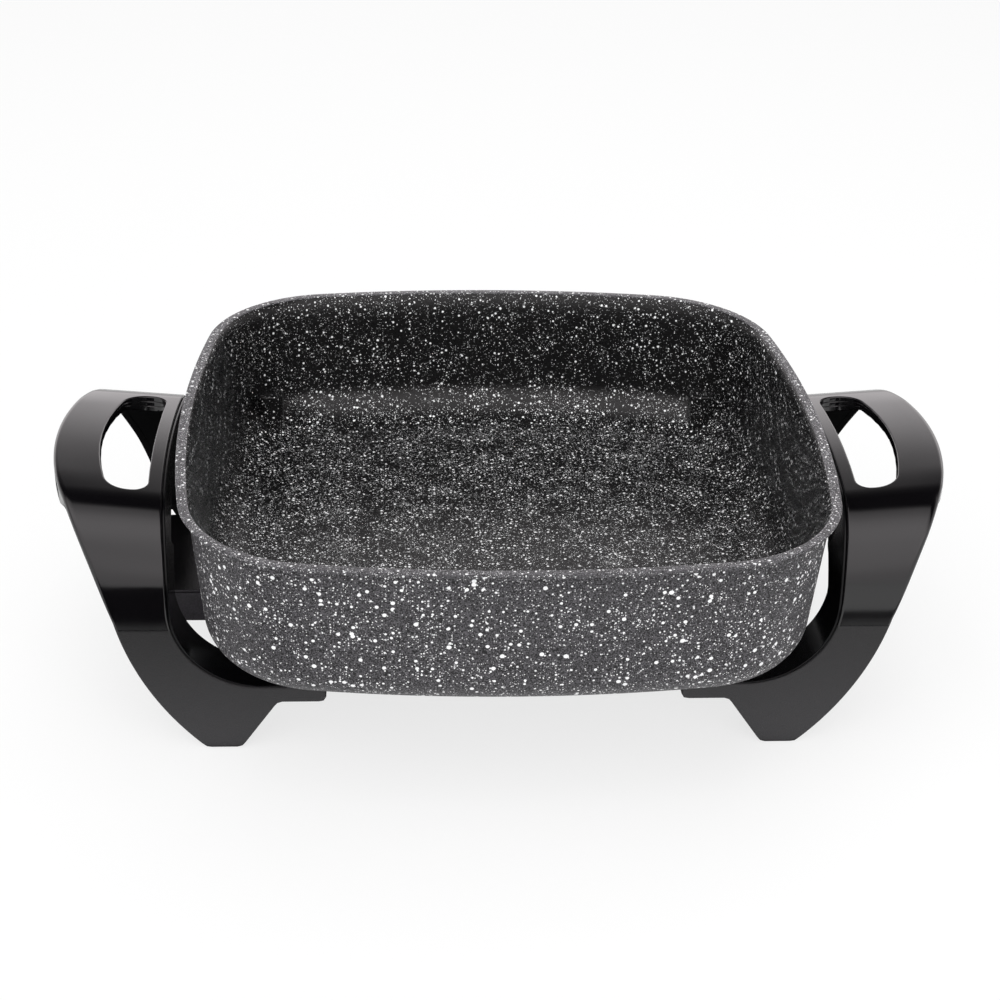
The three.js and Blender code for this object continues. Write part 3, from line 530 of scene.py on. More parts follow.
def copyPiece(piece, name, move):
    mesh = piece.data.copy()
    mesh.name = name
    mesh.transform(move)
    return addObject(name, mesh)


def dressCopy(master, name, slotName, move):
    dress(copyPiece(master, name, move), slotName)


def remove(*pieces):
    for piece in pieces:
        bpy.data.objects.remove(piece)


def movedTo(x, y, z):
    return Matrix.Translation(Vector((x, y, z)) * mm)


def flipped(v):
    # a place or direction mirrored to the front half
    return Vector((v.x, -v.y, v.z))


def lathe(profile, sides=48, centre=(0, 0)):
    # turns (radius, height) pairs about an upright axis
    turns = [2 * pi * i / sides for i in range(sides)]
    return [[(centre[0] + radius * cos(turn), centre[1] + radius * sin(turn), height) for turn in turns]
            for radius, height in profile]


def roundedPoly(corners, steps=8):
    # rounds the corners of a polygon whose points are (x, y, radius)
    points = []
    for i, (x, y, radius) in enumerate(corners):
        corner = Vector((x, y))
        if not radius:
            points.append((x, y))
            continue
        back = (Vector(corners[i - 1][:2]) - corner).normalized()
        ahead = (Vector(corners[(i + 1) % len(corners)][:2]) - corner).normalized()
        half = back.angle(ahead) / 2
        centre = corner + (back + ahead).normalized() * radius / sin(half)
        start = corner + back * radius / tan(half) - centre
        end = corner + ahead * radius / tan(half) - centre
        turn = atan2(start.x * end.y - start.y * end.x, start.dot(end))
        for k in range(steps + 1):
            angle = turn * k / steps
            points.append((
                centre.x + start.x * cos(angle) - start.y * sin(angle),
                centre.y + start.x * sin(angle) + start.y * cos(angle),
            ))
    return points


def level(outline, z):
    return [(x, y, z) for x, y in outline]


def uprightPrism(outline, bottom, top):
    return loft([level(outline, bottom), level(outline, top)])


def block(lowX, highX, lowY, highY, lowZ, highZ):
    return uprightPrism([(lowX, lowY), (highX, lowY), (highX, highY), (lowX, highY)], lowZ, highZ)


def softPrism(centreX, centreY, halfX, halfY, corner, levels, leastCorner=0.3):
    # a rounded rectangle whose size changes with height: levels are (growth, z)
    rings = []
    for grow, z in levels:
        hx, hy, radius = halfX + grow, halfY + grow, max(corner + grow, leastCorner)
        rings.append(level(roundedPoly([
            (centreX - hx, centreY - hy, radius), (centreX + hx, centreY - hy, radius),
            (centreX + hx, centreY + hy, radius), (centreX - hx, centreY + hy, radius),
        ]), z))
    return loft(rings)


def bezier(first, pull, last, steps):
    # a soft corner between two points, without its first point
    made = []
    for i in range(1, steps + 1):
        t = i / steps
        shares = (1 - t) ** 2, 2 * t * (1 - t), t * t
        made.append(tuple(sum(s * v for s, v in zip(shares, spot)) for spot in zip(first, pull, last)))
    return made


def evenly(points, count):
    # places at even distances along a line of points
    steps = [Vector(a[:2]) - Vector(b[:2]) for a, b in zip(points[1:], points)]
    marks = [0.0]
    for step in steps:
        marks.append(marks[-1] + step.length)
    made, k = [], 0
    for i in range(count):
        at = marks[-1] * i / (count - 1)
        while k < len(steps) - 1 and marks[k + 1] < at:
            k += 1
        t = (at - marks[k]) / max(marks[k + 1] - marks[k], 1e-9)
        made.append(tuple(a + (b - a) * t for a, b in zip(points[k], points[k + 1])))
    return made


def ease(value, start, end):
    t = min(max((value - start) / (end - start), 0), 1)
    return t * t * (3 - 2 * t)


def between(low, high, share):
    return low + (high - low) * share


# the pan

pan = {
    "width": 314.0,
    "bow": 665.0,
    "corner": 67.0,
    "cornerCentre": 84.07,  # from the pan's middle
    "underside": 62.5,
    "height": 78.0,
    "base": 7.5,
    "wall": 3.0,
    "taper": radians(5.2),
    "bottomRadius": 21.0,
    "floorRadius": 22.0,
    "lipWidth": 4.6,
    "lipOverhang": 4.0,
    "lipHalfEdge": 0.45,
    "lipRootDrop": 4.5,
    "lipUndercut": (0.1, 1.5),  # pull of the lip's underside: in from its root and below the rim
    "lipShoulder": {"from": 0.9, "pull": 0.1, "past": 0.3, "drop": 0.6},  # inner edge of the lip's flat top
    "lipRun": (0.25, 1.6),  # pull of the run from there into the wall: out from it and above the root
    "underShares": (0.12, 0.4, 0.75),
    "floorShares": (0.85, 0.6, 0.35, 0.12),
}
rimZ = pan["underside"] + pan["height"]
floorZ = pan["underside"] + pan["base"]
lipX = pan["width"] / 2
rootInset = pan["lipOverhang"] + pan["lipRootDrop"] * tan(pan["taper"])
rootZ = rimZ - pan["lipRootDrop"]
# the lip's slot takes the paler coat, painted light on its upward-facing top
outsideSlot, insideSlot, litLipSlot = 0, 1, 2


def panOutline(inset, bowSteps=14, cornerSteps=26):
    # four slow arcs joined by round corners, set in from the lip's edge
    centre = pan["width"] / 2 - pan["bow"]
    reach = pan["bow"] - pan["corner"]
    apart = hypot(centre, centre)
    rise = sqrt(reach ** 2 - (apart / 2) ** 2)
    cornerAt = centre / 2 - rise * centre / apart
    start = atan2(cornerAt, cornerAt - centre)
    end = atan2(cornerAt - centre, cornerAt)
    bow = pan["bow"] - inset
    part = arc(centre, 0, bow, 0, start, bowSteps)
    part += arc(cornerAt, cornerAt, pan["corner"] - inset, start, end, cornerSteps)[1:]
    part += arc(0, centre, bow, end, quarter, bowSteps)[1:]
    whole = part[:-1]
    for turn in (1, 2, 3):
        c, s = round(cos(turn * quarter)), round(sin(turn * quarter))
        whole += [(x * c - y * s, x * s + y * c) for x, y in part[:-1]]
    return whole


def panRing(inset, z, share=1.0):
    return [(x * share, y * share, z) for x, y in panOutline(inset)]


def wallProfile(topInset, topZ, bottomZ, footRadius, steps=16, straightSteps=4):
    # inset and height of a wall, from its top down to where its round foot runs out level
    taper = pan["taper"]
    tangentZ = bottomZ + footRadius * (1 - sin(taper))
    tangentInset = topInset + (topZ - tangentZ) * tan(taper)
    centreInset = tangentInset + footRadius * cos(taper)
    upper = [(between(topInset, tangentInset, i / straightSteps), between(topZ, tangentZ, i / straightSteps))
             for i in range(straightSteps)]
    foot = arc(0, 0, footRadius, taper, quarter, steps)
    return upper + [(centreInset - x, bottomZ + footRadius - y) for x, y in foot]


outerProfile = wallProfile(rootInset, rootZ, pan["underside"], pan["bottomRadius"])[::-1]


def outerInsetAt(z):
    for (insetA, zA), (insetB, zB) in zip(outerProfile, outerProfile[1:]):
        if zA <= z <= zB:
            return between(insetA, insetB, (z - zA) / max(zB - zA, 1e-6))
    return rootInset


def makePanShell():
    edge, flat = pan["lipHalfEdge"], pan["lipWidth"]
    shoulder, (runIn, runUp), (cutIn, cutDown) = pan["lipShoulder"], pan["lipRun"], pan["lipUndercut"]
    inner = wallProfile(rootInset + pan["wall"], rootZ, floorZ, pan["floorRadius"])
    start, end = (flat - shoulder["from"], rimZ), (flat + shoulder["past"], rimZ - shoulder["drop"])
    lip = bezier((rootInset, rootZ), (rootInset + cutIn, rimZ - cutDown), (edge + cutIn, rimZ - 2 * edge), 5)
    lip += arc(edge, rimZ - edge, edge, -quarter, -3 * quarter, 10) + [start]
    lip += bezier(start, (flat - shoulder["pull"], rimZ), end, 4)
    before = len(pan["underShares"]) + len(outerProfile) - 1
    lipEnds = before, before + len(lip) - 1
    lip += bezier(lip[-1], (inner[0][0] - runIn, rootZ + runUp), inner[1], 5)
    rings = [panRing(outerProfile[0][0], pan["underside"], share) for share in pan["underShares"]]
    rings += [panRing(inset, z) for inset, z in outerProfile + lip + inner[2:]]
    rings += [panRing(inner[-1][0], floorZ, share) for share in pan["floorShares"]]

    def slotOf(r, i):
        return outsideSlot if r < lipEnds[0] else litLipSlot if r < lipEnds[1] else insideSlot
    return loft(rings, slotOf=slotOf)


posts = {"width": 15.0, "height": 24.0, "corner": 5.0, "fromEdge": 35.5, "flare": 4.5, "topRound": 1.3,
         "sunk": 1.0}


def makePost(signX, signY):
    # stands on a flared foot, and stays inside the pan's wall
    at = lipX - posts["fromEdge"]
    half, top = posts["width"] / 2, floorZ + posts["height"]
    flare, cap = posts["flare"], posts["topRound"]
    levels = [(flare, floorZ - posts["sunk"])]
    levels += [(flare - y, floorZ + flare - x) for x, y in arc(0, 0, flare, 0, quarter, 8)]
    levels += [(x - cap, top - cap + y) for x, y in arc(0, 0, cap, 0, quarter, 6)]
    points, faces, _ = softPrism(at, at, half, half, posts["corner"], levels)
    centre = pan["cornerCentre"]
    held = []
    for x, y, z in points:
        out = Vector((x - centre, y - centre))
        most = pan["corner"] - outerInsetAt(z) - pan["wall"] / 2
        if x > centre and y > centre and out.length > most:
            out = out.normalized() * most
        held.append((signX * (centre + out.x), signY * (centre + out.y), z))
    return held, faces, [insideSlot] * len(faces)


fourCorners = [(-1, -1), (1, -1), (1, 1), (-1, 1)]
bosses = {"width": 18.0, "bottom": 35.8, "x": 95.0, "y": 71.5, "hole": 5.0, "holeTop": 53.2, "holeTip": 1.2,
          "holeEdge": 0.6, "edge": 0.8, "edgeMiddle": 0.25, "fillet": 3.0, "filletBelow": 4.0, "sunk": 0.8,
          "lastSunk": 0.2}


def makeBoss(signX, signY):
    wide, hole, low = bosses["width"] / 2, bosses["hole"] / 2, bosses["bottom"]
    edge, middle, fillet = bosses["edge"], bosses["edgeMiddle"], bosses["fillet"]
    top = pan["underside"] + bosses["sunk"]
    turnZ, last = top - bosses["filletBelow"], top + bosses["lastSunk"]
    profile = [(nearAxis, bosses["holeTop"] + bosses["holeTip"]), (hole, bosses["holeTop"]),
               (hole, low + bosses["holeEdge"]), (hole + bosses["holeEdge"], low), (wide - edge, low),
               (wide - middle, low + middle), (wide, low + edge)]
    profile += [(wide + fillet - x, turnZ + y) for x, y in arc(0, 0, fillet, 0, quarter, 5)]
    profile += [(wide + fillet, last), (nearAxis, last)]
    return loft(lathe(profile, centre=(signX * bosses["x"], signY * bosses["y"])))


def makePan():
    shapes = [makePanShell()]
    shapes += [makePost(*signs) for signs in fourCorners]
    shapes += [makeBoss(*signs) for signs in fourCorners]
    piece = makePiece("panBody", shapes, ("graniteOutside", "graniteInside", "graniteLip"), roundSharp)
    dress(piece, "granite_coating")


makePan()
print("pan made")

# the handles: one arched moulding a side, that is grip and two legs in one

handle = {
    "gap": 6.0,
    "reach": 60.8,
    "span": 168.0,
    "crownBelowRim": 14.5,
    "crownRise": 4.5,
    "crownArch": 600.0,
    "bend": 30.0,
    "bendEnd": radians(60),
    "sweep": 75.0,
    "crownOutline": 169.0,
    "outlinePull": (0.427, 0.485),  # of the bend's length, at its top and at its bottom
    "innerBow": 900.0,
    "wall": 4.0,
    "outerFlange": 3.5,
    "innerFlange": 3.0,
    "flangeDepth": 10.0,
    "bendFlange": 2.4,  # the outer flange is shallow in the bends
    "flangeRun": 16.0,
    "flangeSpare": 0.4,  # of a flange below its edge's round
    "legDepth": 25.0,
    "legTopReach": 27.8,
    "legOutline": 139.0,
    "legBend": 42.0,
    "footInset": 12.8,
    "footWidth": 17.0,
    "footSlope": 18.0,
    "footCorner": 4.0,
    "armEndInset": 71.0,
    "armUnderside": 26.4,
    "armEndRound": 2.8,
    "armEndLap": 0.4,
    "armTop": 35.5,
    "screwCut": (20.0, 45.0),  # the screw holes' cutters go from and to this height
    "armDeepFrom": 0.6,  # the arm's flange gets its full depth this near to its level part
    "padProud": 0.3,
    "edgeRound": 1.3,  # round of the long edges
    "gripRound": 2.4,  # softer round of the grip's outer edge
    "bendRound": 3.4,  # and softest in the bends
    "bendRoundFrom": 38.0,
    "bendRoundPast": 10.0,  # where that is reached, past the crown's end
    "legRoundFrom": 28.0,  # where it starts to get sharp again, past the crown's end
    "legRoundPast": 2.0,
    "roundShares": (0.2, 0.22),  # the most that a round takes of a narrow face, inside and outside
    "wallShare": 0.3,  # the most that a flange's wall takes of it
    "solidBelow": 12.0,  # a face narrower than this is solid behind
    "solidShort": 0.6,
    "leastSkin": 2.0,
    "skinShort": 0.2,
    "riseEnds": (36.0, 100.0),  # the outer edge's rise dies out between these places along the arch
    "lap": 3.2,  # the face reaches over the liner's edge
    "lapThick": 2.2,
}
liner = {
    "wall": 3.0,
    "recess": 1.0,
    "seam": 0.6,
    "bead": 0.45,
    "rim": 0.1,
    "rimEdge": ((0.02, 0.06), (0.1, 0.3)),  # the bead runs out into it: in from the rim, and below the top
    "proud": 0.9,
    "behindLap": 0.3,
    "lowEdge": 0.5,
    "skirtRun": 32.0,
    "skirts": ((0.0, 18.5), (0.42, 9.6), (1.0, 0.0)),  # how much deeper it hangs, by shares of the bend
}
halfSpan = handle["span"] / 2
crownZ = rimZ - handle["crownBelowRim"]
gripX = lipX + handle["reach"]
linerX = lipX + handle["gap"]
armEndX = lipX - handle["armEndInset"]
footOuterX = lipX - handle["footInset"]
bendReach = handle["bend"] * sin(handle["bendEnd"]) + handle["sweep"] * (1 - sin(handle["bendEnd"]))
halfCrown = (halfSpan - bendReach) / (1 - handle["bend"] / handle["crownArch"])
crownTurn = asin(halfCrown / handle["crownArch"])
crownEndZ = crownZ - handle["crownArch"] * (1 - cos(crownTurn))
sweepTopZ = crownEndZ - handle["bend"] * (cos(crownTurn) - cos(handle["bendEnd"]))
legTopZ = sweepTopZ - handle["sweep"] * cos(handle["bendEnd"])
bendArc = handle["bend"] * (handle["bendEnd"] - crownTurn)
bendLength = bendArc + handle["sweep"] * (quarter - handle["bendEnd"])
shellInset = liner["wall"] + liner["seam"]


def bowInset(radius, offset):
    return radius - sqrt(radius ** 2 - offset ** 2)


def archPlace(along):
    # y, z and tilt of the arch's outer face, at a distance from the middle of the crown
    if along <= halfCrown:
        turn = asin(along / handle["crownArch"])
        return along, crownZ - handle["crownArch"] * (1 - cos(turn)), turn
    past = along - halfCrown
    if past <= bendArc:
        turn = crownTurn + past / handle["bend"]
        y = halfCrown + handle["bend"] * (sin(turn) - sin(crownTurn))
        return y, crownEndZ - handle["bend"] * (cos(crownTurn) - cos(turn)), turn
    turn = min(handle["bendEnd"] + (past - bendArc) / handle["sweep"], quarter)
    return halfSpan - handle["sweep"] * (1 - sin(turn)), legTopZ + handle["sweep"] * cos(turn), turn


def archStops(crownSteps, bendSteps):
    # from the middle of the crown to the bend's end
    crown = [halfCrown * i / crownSteps for i in range(crownSteps)]
    return crown + [halfCrown + bendLength * i / bendSteps for i in range(bendSteps + 1)]


def legArc():
    # the leg's outer edge in the front view
    top = Vector((lipX + handle["legTopReach"], legTopZ))
    chord = top - Vector((footOuterX, handle["padProud"]))
    lean = atan2(chord.x, chord.y)
    half = asin(chord.length / 2 / handle["legOutline"])
    start = lean - half
    return start, lean + half, top + Vector((-cos(start), sin(start))) * handle["legOutline"]


def outerEdge(along):
    if along <= halfCrown:
        return gripX - bowInset(handle["crownOutline"], along)
    startX = gripX - bowInset(handle["crownOutline"], halfCrown)
    startSlope = halfCrown / sqrt(handle["crownOutline"] ** 2 - halfCrown ** 2)
    endX = lipX + handle["legTopReach"]
    endSlope = tan(legArc()[0])
    topPull, lowPull = (bendLength * pull for pull in handle["outlinePull"])
    t = min((along - halfCrown) / bendLength, 1)
    a, b, c, d = startX, startX - startSlope * topPull, endX + endSlope * lowPull, endX
    return (1 - t) ** 3 * a + 3 * t * (1 - t) ** 2 * b + 3 * t * t * (1 - t) * c + t ** 3 * d


def innerEdge(y, z):
    below = max(handle["armTop"] + handle["legBend"] - z, 0)
    return linerX - bowInset(handle["innerBow"], y) - bowInset(handle["legBend"], below)


def crownRiseAt(along):
    return handle["crownRise"] * (1 - ease(along, *handle["riseEnds"]))


def outerRoundAt(along):
    bent = ease(along, handle["bendRoundFrom"], halfCrown + handle["bendRoundPast"])
    soft = between(handle["gripRound"], handle["bendRound"], bent)
    ended = ease(along, halfCrown + handle["legRoundFrom"], halfCrown + bendLength + handle["legRoundPast"])
    return between(soft, handle["edgeRound"], ended)


legInnerX = linerX - bowInset(handle["innerBow"], halfSpan)
legBendX, legBendZ = legInnerX - handle["legBend"], handle["armTop"] + handle["legBend"]


def legInnerLine(inset, steps=26, levelSteps=10):
    # round the bend beside the pan and level along the arm: points and the directions away from the pan
    start = asin((legTopZ - legBendZ) / handle["legBend"])
    radius = handle["legBend"] + inset
    bend = arc(legBendX, legBendZ, radius, start, -quarter, steps)
    line = [(x, z, (x - legBendX) / radius, (z - legBendZ) / radius) for x, z in bend]
    for i in range(1, levelSteps + 1):
        line.append((between(legBendX, armEndX, i / levelSteps), handle["armTop"] - inset, 0.0, -1.0))
    return line


def legOuterLine(steps=40, roundSteps=7):
    # down the leg's edge, round the foot, up its slope and along the underside of the arm
    start, end, centre = legArc()
    sweep = arc(centre.x, centre.y, handle["legOutline"], -start, -end, steps)[:-2]
    footInner = footOuterX - handle["footWidth"]
    low, corner, under = handle["padProud"], handle["footCorner"], handle["armUnderside"]
    walk = roundedPoly([
        (*sweep[-1], 0), (footOuterX, low, corner), (footInner, low, corner),
        (footInner - handle["footSlope"], under, corner), (armEndX, under, handle["armEndRound"]),
        (armEndX, handle["armTop"] - shellInset - handle["armEndLap"], 0),
    ], roundSteps)
    return sweep[:-1] + walk


def shellRows(legRows=64):
    # rows from the middle of the crown to the end of the rear arm: inner and outer edge, the direction into
    # the body, the outer edge's round and the flanges' depths
    rows = []
    deep, leg, shallow = handle["flangeDepth"], handle["legDepth"], handle["bendFlange"]
    for along in archStops(20, 44):
        y, z, turn = archPlace(along)
        depth = Vector((0, -sin(turn), -cos(turn)))
        inner = Vector((innerEdge(y, z) + shellInset, y, z))
        outer = Vector((outerEdge(along), y, z)) - depth * crownRiseAt(along)
        flange = between(deep, shallow, ease(along, halfCrown, halfCrown + handle["flangeRun"]))
        flange = max(flange, outerRoundAt(along) + handle["flangeSpare"])
        rows.append({"inner": inner, "outer": outer, "depth": depth, "round": outerRoundAt(along),
                     "flanges": (deep, flange)})
    innerLine = evenly(legInnerLine(shellInset), legRows)
    outerLine = evenly(legOuterLine(), legRows)
    armFace = handle["armTop"] - shellInset
    for (innerX, innerZ, *_), (outerX, outerZ) in list(zip(innerLine, outerLine))[1:]:
        innerFlange = leg if innerZ < armFace + handle["armDeepFrom"] else deep
        outerFlange = leg if outerZ < armFace else shallow
        rows.append({"inner": Vector((innerX, halfSpan, innerZ)), "outer": Vector((outerX, halfSpan, outerZ)),
                     "depth": Vector((0, -1, 0)), "round": handle["edgeRound"],
                     "flanges": (innerFlange, outerFlange)})
    return rows


def shellRing(rows, i):
    # the closed section of one row, from the inner flange over the face to the outer flange and back inside
    row = rows[i]
    before, after = rows[max(i - 1, 0)], rows[min(i + 1, len(rows) - 1)]
    depth, inner, outer = row["depth"], row["inner"], row["outer"]
    wide = (outer - inner).length
    fromInner = -(after["inner"] - before["inner"]).normalized().cross(depth).normalized()
    fromOuter = (after["outer"] - before["outer"]).normalized().cross(depth).normalized()
    climb = (outer - inner).dot(-depth) / wide
    lap, thick = handle["lap"], handle["lapThick"]
    edge = inner - fromInner * lap + depth * climb * lap
    wanted = (handle["edgeRound"], row["round"])
    innerRound, outerRound = (min(w, (wide + lap) * share) for w, share in zip(wanted, handle["roundShares"]))
    faceInner = edge + fromInner * innerRound - depth * climb * innerRound
    faceOuter = outer + fromOuter * outerRound + depth * climb * outerRound
    deepInner, deepOuter = row["flanges"]
    skin = min(handle["wall"], deepOuter - handle["skinShort"])
    if wide < handle["solidBelow"]:
        skin = max(min(deepInner, deepOuter) - handle["solidShort"], handle["leastSkin"])
    wallMost = wide * handle["wallShare"]
    wallInner, wallOuter = min(handle["innerFlange"], wallMost), min(handle["outerFlange"], wallMost)
    ring = [inner + depth * deepInner, inner + depth * thick, edge + depth * thick, edge + depth * innerRound]
    ring += [Vector(point) for point in bezier(ring[-1], edge, faceInner, 6)]
    ring += [faceInner.lerp(faceOuter, t / 8) for t in range(1, 9)]
    ring += [Vector(point) for point in bezier(faceOuter, outer, outer + depth * outerRound, 6)]
    ring += [outer + depth * deepOuter, outer + fromOuter * wallOuter + depth * deepOuter]
    ring += [outer + fromOuter * wallOuter + depth * skin, inner + fromInner * wallInner + depth * skin]
    ring += [inner + fromInner * wallInner + depth * deepInner]
    return [tuple(point) for point in ring]


# the shell's inside faces take the finish of painted shade
shadedHollowFaces = (24, 28)  # the ring's faces inside the shell


def makeShellSweep():
    # the front half is the rear half mirrored, with the middle row shared
    rows = shellRows()
    front = [{**row, **{key: flipped(row[key]) for key in ("inner", "outer", "depth")}} for row in rows[1:]]
    whole = front[::-1] + rows
    rings = [shellRing(whole, i) for i in range(len(whole))]
    return loft(rings, slotOf=lambda r, i: int(shadedHollowFaces[0] <= i <= shadedHollowFaces[1]))


fingerHole = {
    "length": 99.4,
    "innerStrip": 7.5,
    "outerStrip": 22.0,
    "outline": 150.0,
    "innerCorner": 7.0,
    "outerCorner": 13.0,
    "outerShares": (-1, -0.8, -0.6, -0.4, -0.2, 0, 0.2, 0.4, 0.6, 0.8, 1),  # places along the half length
    "innerShares": (1, 0.6, 0.2, -0.2, -0.6, -1),
    "cutGrow": 0.9,
    "cut": (90, 150),  # from and to this height
    "middleX": 182.0,
    "flatten": 0.25,  # weight of a place along the hole in telling outward from inward
    "collarWall": 2.2,
    "collarDepth": 8.0,
    "collarTop": -1.6,
    "edgeRound": 0.8,
    "lipProud": 0.015,
    "lip": ((0.75, -1.0), (0.6, 0.015)),  # across from the round edge, and height
    "ledges": ((0.0, -2.3), (-0.1, -2.6), (-0.45, -2.75), (-0.6, -3.0), (-0.6, -4.7), (-0.7, -5.0),
               (-1.0, -5.15), (-1.15, -5.4), (-1.15, -7.5), (-0.8, -8.0)),
    "ledgeBelow": -2.4,
    "leanAbove": -1.4,  # heights above this follow the face's tilt
    "shallowBelow": -1.7,  # and those below this are less deep along the hole's sides
    "sideShare": 0.45,  # by this share of the depth at its ends
}


def holeOutline(grow=0.0, count=160):
    half = fingerHole["length"] / 2 + grow
    corners = []
    for share in fingerHole["outerShares"]:
        x = gripX - fingerHole["outerStrip"] - bowInset(fingerHole["outline"], share * half) + grow
        corners.append((x, share * half, fingerHole["outerCorner"] + grow if abs(share) == 1 else 0))
    for share in fingerHole["innerShares"]:
        x = linerX - bowInset(handle["innerBow"], share * half) + fingerHole["innerStrip"] - grow
        corners.append((x, share * half, fingerHole["innerCorner"] + grow if abs(share) == 1 else 0))
    line = roundedPoly(corners, 10)
    return evenly(line + line[:1], count + 1)[:-1]


def crownSurface(x, y):
    # the grip's top face at x and y, and the direction out of it
    sign = 1 if y >= 0 else -1
    y = abs(y)
    guess = y
    for _ in range(4):
        if guess <= halfCrown:
            along = handle["crownArch"] * asin(guess / handle["crownArch"])
        else:
            turn = asin(min((guess - halfCrown) / handle["bend"] + sin(crownTurn), 1))
            along = halfCrown + handle["bend"] * (turn - crownTurn)
        faceY, faceZ, turn = archPlace(along)
        inner = innerEdge(faceY, faceZ) + shellInset
        wide = outerEdge(along) - inner
        rise = crownRiseAt(along) * (x - inner) / wide
        guess = y - rise * sin(turn)
    out = Vector((-crownRiseAt(along) / wide, sign * sin(turn), cos(turn))).normalized()
    return Vector((x, sign * y, faceZ + rise * cos(turn))), out


def collarDrop(height, out, ends):
    if height > fingerHole["leanAbove"]:
        return height * out.z
    if height > fingerHole["shallowBelow"]:
        return height
    return height * between(fingerHole["sideShare"], 1, ends)


def makeCollar():
    # rounds the finger hole's edge and lines the hole, with small steps on the way down
    outline = holeOutline()
    edge, proud, wall = fingerHole["edgeRound"], fingerHole["lipProud"], fingerHole["collarWall"]
    section = [(edge + across, height) for across, height in fingerHole["lip"]]
    section += [(edge - x, y - edge + proud) for x, y in arc(0, 0, edge, quarter, 0, 7)]
    section += fingerHole["ledges"]
    section += [(wall, -fingerHole["collarDepth"]), (wall, fingerHole["collarTop"])]
    rings = []
    for across, height in section:
        ring = []
        ledge = height < fingerHole["ledgeBelow"] and across < 0
        for i, (x, y) in enumerate(outline):
            ahead = Vector(outline[(i + 1) % len(outline)]) - Vector(outline[i - 1])
            away = Vector((ahead.y, -ahead.x)).normalized()
            if away.dot(Vector((x - fingerHole["middleX"], y * fingerHole["flatten"]))) < 0:
                away = -away
            ends = abs(away.y)  # the steps show at the hole's ends and die out along its sides
            spot = Vector((x, y)) + away * across * (ends if ledge else 1)
            surface, out = crownSurface(spot.x, spot.y)
            ring.append(tuple(surface + Vector((0, 0, collarDrop(height, out, ends)))))
        rings.append(ring)
    return loft(rings, loop=True)


ribs = {"wall": 2.5, "heightShares": (0.3, 0.68), "web": 3.0, "near": 3.0, "far": 9.4, "plateX": 110.0,
        "inSkin": 1.0, "plateSpare": 0.3, "webSpare": 0.6, "topSpare": 0.02, "webBottom": 2.0}


def makeRibs():
    # stiffening plates across the hollow back of each leg, and the plate and web of each foot
    centre = legArc()[2]
    skin, half, halfWeb = ribs["inSkin"], ribs["wall"] / 2, ribs["web"] / 2
    plateTop = handle["armTop"] - shellInset
    plate = plateTop - ribs["web"]
    webX = footOuterX - handle["footWidth"] / 2

    def outerAt(z):
        return centre.x + sqrt(handle["legOutline"] ** 2 - (z - centre.y) ** 2) - skin

    def innerAt(z):
        return legBendX + sqrt(max((handle["legBend"] + shellInset) ** 2 - (z - legBendZ) ** 2, 0)) + skin

    shapes = []
    for side in (-1, 1):
        def across(far):
            return sorted((side * (halfSpan - ribs["near"]), side * (halfSpan - far)))
        for share in ribs["heightShares"]:
            low = between(handle["armTop"], legTopZ, share) - half
            shapes.append(block(innerAt(low), outerAt(low), *across(ribs["far"]), low, low + ribs["wall"]))
        plateFar, webFar = handle["legDepth"] - ribs["plateSpare"], handle["legDepth"] - ribs["webSpare"]
        plateEnd = plateTop - ribs["topSpare"]
        shapes.append(block(ribs["plateX"], outerAt(plate), *across(plateFar), plate, plateEnd))
        shapes.append(block(webX - halfWeb, webX + halfWeb, *across(webFar), ribs["webBottom"], plate + skin))
    # the ribs take the shell's painted shade finish
    return [(points, faces, [1] * len(faces)) for points, faces, _ in shapes]


def cutScrewHoles(piece, sharpAngle=softSharp):
    for side in (-1, 1):
        profile = [(bosses["hole"] / 2, z) for z in handle["screwCut"]]
        hole = lathe(profile, 32, (bosses["x"], side * bosses["y"]))
        combine(piece, makePiece("screwHole", [loft(hole)]), sharpAngle=sharpAngle)


def makeShell():
    shell = makePiece("rightHandleShell", [makeShellSweep()], ("handleBlack", "handleHollow"))
    hole = uprightPrism(holeOutline(fingerHole["cutGrow"]), *fingerHole["cut"])
    combine(shell, makePiece("holeCutter", [hole]))
    cutScrewHoles(shell)
    addShapes(shell, [makeCollar()] + makeRibs())
    return shell


def skirtAt(along):
    # the liner hangs deeper at the ends of the crown, and shallower again towards the legs
    bent = (along - halfCrown) / bendLength
    skirts = liner["skirts"]
    if bent <= 0:
        return skirts[0][1] * ease(along, halfCrown - liner["skirtRun"], halfCrown)
    for (shareA, deepA), (shareB, deepB) in zip(skirts, skirts[1:]):
        if bent <= shareB:
            return between(deepA, deepB, (bent - shareA) / (shareB - shareA))
    return 0.0


def linerRing(place, away, depth, deep):
    # the closed section at one place, from its lower edge over the bead to the edge behind the shell's lap
    wall, bead, top, rim, lowEdge = (liner[key] for key in ("wall", "bead", "recess", "rim", "lowEdge"))
    (startIn, startDown), (endIn, endDown) = liner["rimEdge"]
    near = -liner["proud"] * max(away.x, 0)
    shoulder = handle["lapThick"] + liner["behindLap"]
    section = [(near + lowEdge, deep), (near, deep - lowEdge)]
    section += arc(near + bead, top + bead, bead, pi, 3 * quarter, 4)
    section += [(rim + startIn, top + startDown), (rim + endIn, top + endDown), (rim + endIn, shoulder),
                (wall, shoulder), (wall, deep - lowEdge), (wall - lowEdge, deep)]
    return [tuple(place + away * across + depth * down) for across, down in section]


